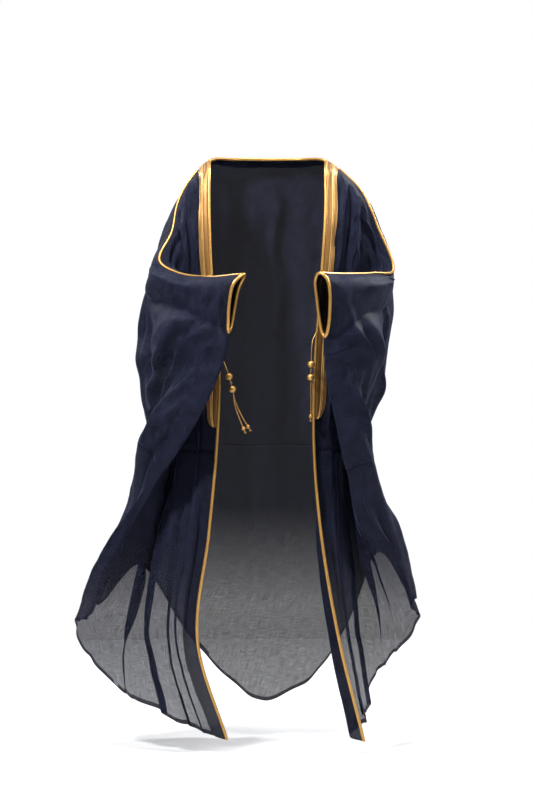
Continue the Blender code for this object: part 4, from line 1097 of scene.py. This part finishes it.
def cloth_material(name, dark, light, see_through, sheen):
    """A fine semi-sheer plain weave with uneven threads. see_through is for one surface of two."""
    material = bpy.data.materials.new(name)
    shader = shader_of(material)
    slubs = []
    for scale in ((30.0, 560.0, 1.0), (560.0, 26.0, 1.0), (38.0, 30.0, 1.0)):
        texture = add_node(material, "ShaderNodeTexNoise", Scale=1.0, Detail=3.0, Roughness=0.6)
        link(material, cut_coordinates(material, scale), texture.inputs["Vector"])
        slubs.append(texture.outputs["Fac"])
    threads = add_node(material, "ShaderNodeMath", operation="ADD")
    link(material, slubs[0], threads.inputs[0])
    link(material, slubs[1], threads.inputs[1])
    patches = add_node(material, "ShaderNodeMath", operation="MULTIPLY_ADD")
    link(material, slubs[2], patches.inputs[0])
    patches.inputs[1].default_value = 0.9
    link(material, threads.outputs[0], patches.inputs[2])
    spread = add_node(material, "ShaderNodeMapRange")
    spread.inputs["From Min"].default_value = 1.05
    spread.inputs["From Max"].default_value = 1.85
    link(material, patches.outputs[0], spread.inputs["Value"])
    ramp = colour_ramp(material, ((0.0, dark), (1.0, light)))
    link(material, spread.outputs["Result"], ramp.inputs["Fac"])
    link(material, ramp.outputs["Color"], shader.inputs["Base Color"])
    weave_heights = []
    for axis in ("X", "Y"):
        wave = add_node(material, "ShaderNodeTexWave", Scale=0.314 / THREAD_PITCH, Distortion=0.6)
        wave.bands_direction = axis
        link(material, cut_coordinates(material, (1.0, 1.0, 1.0)), wave.inputs["Vector"])
        weave_heights.append(wave.outputs["Fac"])
    weave = add_node(material, "ShaderNodeMath", operation="MAXIMUM")
    link(material, weave_heights[0], weave.inputs[0])
    link(material, weave_heights[1], weave.inputs[1])
    bump = add_node(material, "ShaderNodeBump", Strength=0.25, Distance=0.0003)
    link(material, weave.outputs[0], bump.inputs["Height"])
    crush = add_node(material, "ShaderNodeBump", Strength=0.35, Distance=0.0012)
    link(material, slubs[2], crush.inputs["Height"])
    link(material, bump.outputs["Normal"], crush.inputs["Normal"])
    link(material, crush.outputs["Normal"], shader.inputs["Normal"])
    shader.inputs["Roughness"].default_value = 0.64
    shader.inputs["Specular IOR Level"].default_value = 0.05
    shader.inputs["Sheen Weight"].default_value = sheen
    shader.inputs["Sheen Roughness"].default_value = 0.35
    shader.inputs["Sheen Tint"].default_value = (0.50, 0.58, 1.0, 1.0)
    link(material, cloth_opacity(material, threads.outputs[0], see_through), shader.inputs["Alpha"])
    return material


def gold_material(name, dark, light, roughness):
    """Laid metal thread, with painted highlight and shade: the same noise that raises the bump lightens the
    colour, so raised places are lighter and low places darker.
    """
    material = bpy.data.materials.new(name)
    shader = shader_of(material)
    place = add_node(material, "ShaderNodeTexCoord")
    texture = add_node(material, "ShaderNodeTexNoise", Scale=420.0, Detail=3.0, Roughness=0.65)
    link(material, place.outputs["Object"], texture.inputs["Vector"])
    # Painted highlight and shade: the dark colour sits on the low noise and the light colour on the raised
    # noise.
    ramp = colour_ramp(material, ((0.30, dark), (0.70, light)))
    link(material, texture.outputs["Fac"], ramp.inputs["Fac"])
    link(material, ramp.outputs["Color"], shader.inputs["Base Color"])
    bump = add_node(material, "ShaderNodeBump", Strength=0.5, Distance=0.0004)
    link(material, texture.outputs["Fac"], bump.inputs["Height"])
    link(material, bump.outputs["Normal"], shader.inputs["Normal"])
    shader.inputs["Metallic"].default_value = 0.75
    shader.inputs["Roughness"].default_value = roughness
    return material


def band_material():
    """Rows of gold thread along the band, with a painted highlight on the outer border and the raised ribs,
    and painted shade in the dark lines at their edges.
    """
    material = bpy.data.materials.new("gold_band_zari")
    shader = shader_of(material)
    uv = add_node(material, "ShaderNodeUVMap", uv_map="cut")
    split = add_node(material, "ShaderNodeSeparateXYZ")
    link(material, uv.outputs["UV"], split.inputs["Vector"])
    flat = (0.27, 0.135, 0.036)
    # bright is a painted highlight for the outer border and the raised ribs, and line is painted shade for the
    # grooves at their edges.
    bright = (0.52, 0.30, 0.10)
    line = (0.09, 0.04, 0.010)
    stops = (
        (0.00, bright), (0.055, bright), (0.085, line), (0.11, flat), (0.285, flat), (0.300, line),
        (0.320, bright), (0.400, bright), (0.425, line), (0.445, bright), (0.550, bright), (0.568, line),
        (0.600, (0.21, 0.10, 0.026)), (0.96, (0.25, 0.125, 0.033)), (1.0, bright),
    )
    ramp = colour_ramp(material, stops)
    link(material, split.outputs["X"], ramp.inputs["Fac"])
    rows = add_node(material, "ShaderNodeTexNoise", Scale=1.0, Detail=2.0)
    mapping = add_node(material, "ShaderNodeMapping")
    mapping.inputs["Scale"].default_value = (46.0, 160.0, 1.0)
    link(material, uv.outputs["UV"], mapping.inputs["Vector"])
    link(material, mapping.outputs["Vector"], rows.inputs["Vector"])
    # The same row noise raises the bump and scales the colour: painted highlight on the raised rows, painted
    # shade between them.
    shade = add_node(material, "ShaderNodeMapRange")
    shade.inputs["To Min"].default_value = 0.62
    shade.inputs["To Max"].default_value = 1.32
    link(material, rows.outputs["Fac"], shade.inputs["Value"])
    mix = add_node(material, "ShaderNodeVectorMath", operation="SCALE")
    link(material, ramp.outputs["Color"], mix.inputs[0])
    link(material, shade.outputs["Result"], mix.inputs["Scale"])
    link(material, mix.outputs["Vector"], shader.inputs["Base Color"])
    bump = add_node(material, "ShaderNodeBump", Strength=0.6, Distance=0.0005)
    link(material, rows.outputs["Fac"], bump.inputs["Height"])
    link(material, bump.outputs["Normal"], shader.inputs["Normal"])
    shader.inputs["Metallic"].default_value = 0.6
    shader.inputs["Roughness"].default_value = 0.40
    return material


def steel_material():
    material = bpy.data.materials.new("link_steel")
    shader = shader_of(material)
    place = add_node(material, "ShaderNodeTexCoord")
    texture = add_node(material, "ShaderNodeTexNoise", Scale=600.0, Detail=2.0)
    link(material, place.outputs["Object"], texture.inputs["Vector"])
    ramp = colour_ramp(material, ((0.3, (0.10, 0.10, 0.11)), (0.8, (0.30, 0.30, 0.32))))
    link(material, texture.outputs["Fac"], ramp.inputs["Fac"])
    link(material, ramp.outputs["Color"], shader.inputs["Base Color"])
    shader.inputs["Metallic"].default_value = 1.0
    shader.inputs["Roughness"].default_value = 0.35
    return material


def make_materials():
    return {
        "cloth": cloth_material("sheer_cloth", *SHEER_COLOURS, 0.38, 0.06),
        "doubled": cloth_material("doubled_cloth", *DOUBLED_COLOURS, 0.16, 0.05),
        # The gold cord and bead colours run from painted shade to painted highlight across their relief noise.
        "gold_cord": gold_material("gold_cord_thread", (0.30, 0.14, 0.028), (0.66, 0.38, 0.11), 0.36),
        "gold_band": band_material(),
        "gold_bead": gold_material("gold_bead_thread", (0.24, 0.11, 0.024), (0.60, 0.34, 0.10), 0.40),
        "steel": steel_material(),
    }


def make_camera():
    data = bpy.data.cameras.new("camera")
    data.lens = CAMERA_LENS
    item = bpy.data.objects.new("camera", data)
    item.location = (CAMERA_SIDE, -CAMERA_DISTANCE, CAMERA_HEIGHT - NECK_HEIGHT)
    item.rotation_euler = (math.pi / 2, 0.0, 0.0)
    bpy.context.scene.collection.objects.link(item)
    bpy.context.scene.camera = item


def area_light(name, place, aim, size, power):
    data = bpy.data.lights.new(name, "AREA")
    data.shape = "DISK"
    data.size = size
    data.energy = power
    item = bpy.data.objects.new(name, data)
    item.location = place
    item.rotation_euler = (Vector(aim) - Vector(place)).to_track_quat("-Z", "Y").to_euler()
    bpy.context.scene.collection.objects.link(item)


def make_surround():
    """A surround that is seen white and lights the cloak more softly."""
    world = bpy.data.worlds.new("studio")
    world.use_nodes = True
    tree = world.node_tree
    seen = tree.nodes["Background"]
    seen.inputs["Color"].default_value = (1.0, 1.0, 1.0, 1.0)
    lighting = tree.nodes.new("ShaderNodeBackground")
    lighting.inputs["Color"].default_value = (0.94, 0.97, 1.0, 1.0)
    lighting.inputs["Strength"].default_value = SURROUND_LIGHT
    path = tree.nodes.new("ShaderNodeLightPath")
    mix = tree.nodes.new("ShaderNodeMixShader")
    tree.links.new(path.outputs["Is Camera Ray"], mix.inputs[0])
    tree.links.new(lighting.outputs[0], mix.inputs[1])
    tree.links.new(seen.outputs[0], mix.inputs[2])
    tree.links.new(mix.outputs[0], tree.nodes["World Output"].inputs["Surface"])
    bpy.context.scene.world = world
    bpy.context.scene.view_settings.view_transform = "Standard"


def make_studio():
    """A pale floor, a bright surround and soft lights."""
    turns = 2 * math.pi * np.arange(96) / 96
    rim = FLOOR_REACH * np.column_stack([np.cos(turns), np.sin(turns)])
    mesh = bpy.data.meshes.new("floor")
    mesh.from_pydata([(x, y, -NECK_HEIGHT) for x, y in rim.tolist()], [], [list(range(len(rim)))])
    floor = bpy.data.objects.new("floor", mesh)
    bpy.context.scene.collection.objects.link(floor)
    material = bpy.data.materials.new("floor_white")
    shader = shader_of(material)
    shader.inputs["Base Color"].default_value = (0.54, 0.54, 0.55, 1.0)
    shader.inputs["Roughness"].default_value = 0.85
    mesh.materials.append(material)
    make_surround()
    area_light("key", (-2.4, -3.0, 3.0), (0.0, 0.0, -0.5), 0.8, 430.0)
    area_light("fill", (3.8, -2.6, 1.8), (0.0, 0.0, -0.6), 1.0, 130.0)
    area_light("top", (0.0, -0.9, 3.4), (0.0, 0.0, -0.5), 1.6, 220.0)
    area_light("back_left", (-3.0, 2.6, 2.2), (0.0, 0.0, -0.5), 0.9, 110.0)
    area_light("back_right", (3.2, 2.4, 2.4), (0.0, 0.0, -0.5), 0.9, 330.0)


def write_sizes():
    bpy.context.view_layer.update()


def main():
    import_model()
    make_camera()
    materials = make_materials()
    make_tassels(materials)
    panels = make_panels(materials)
    make_piping(materials)
    make_bands(materials)
    make_seam_ridges(materials)
    make_studio()
    write_sizes()


main()
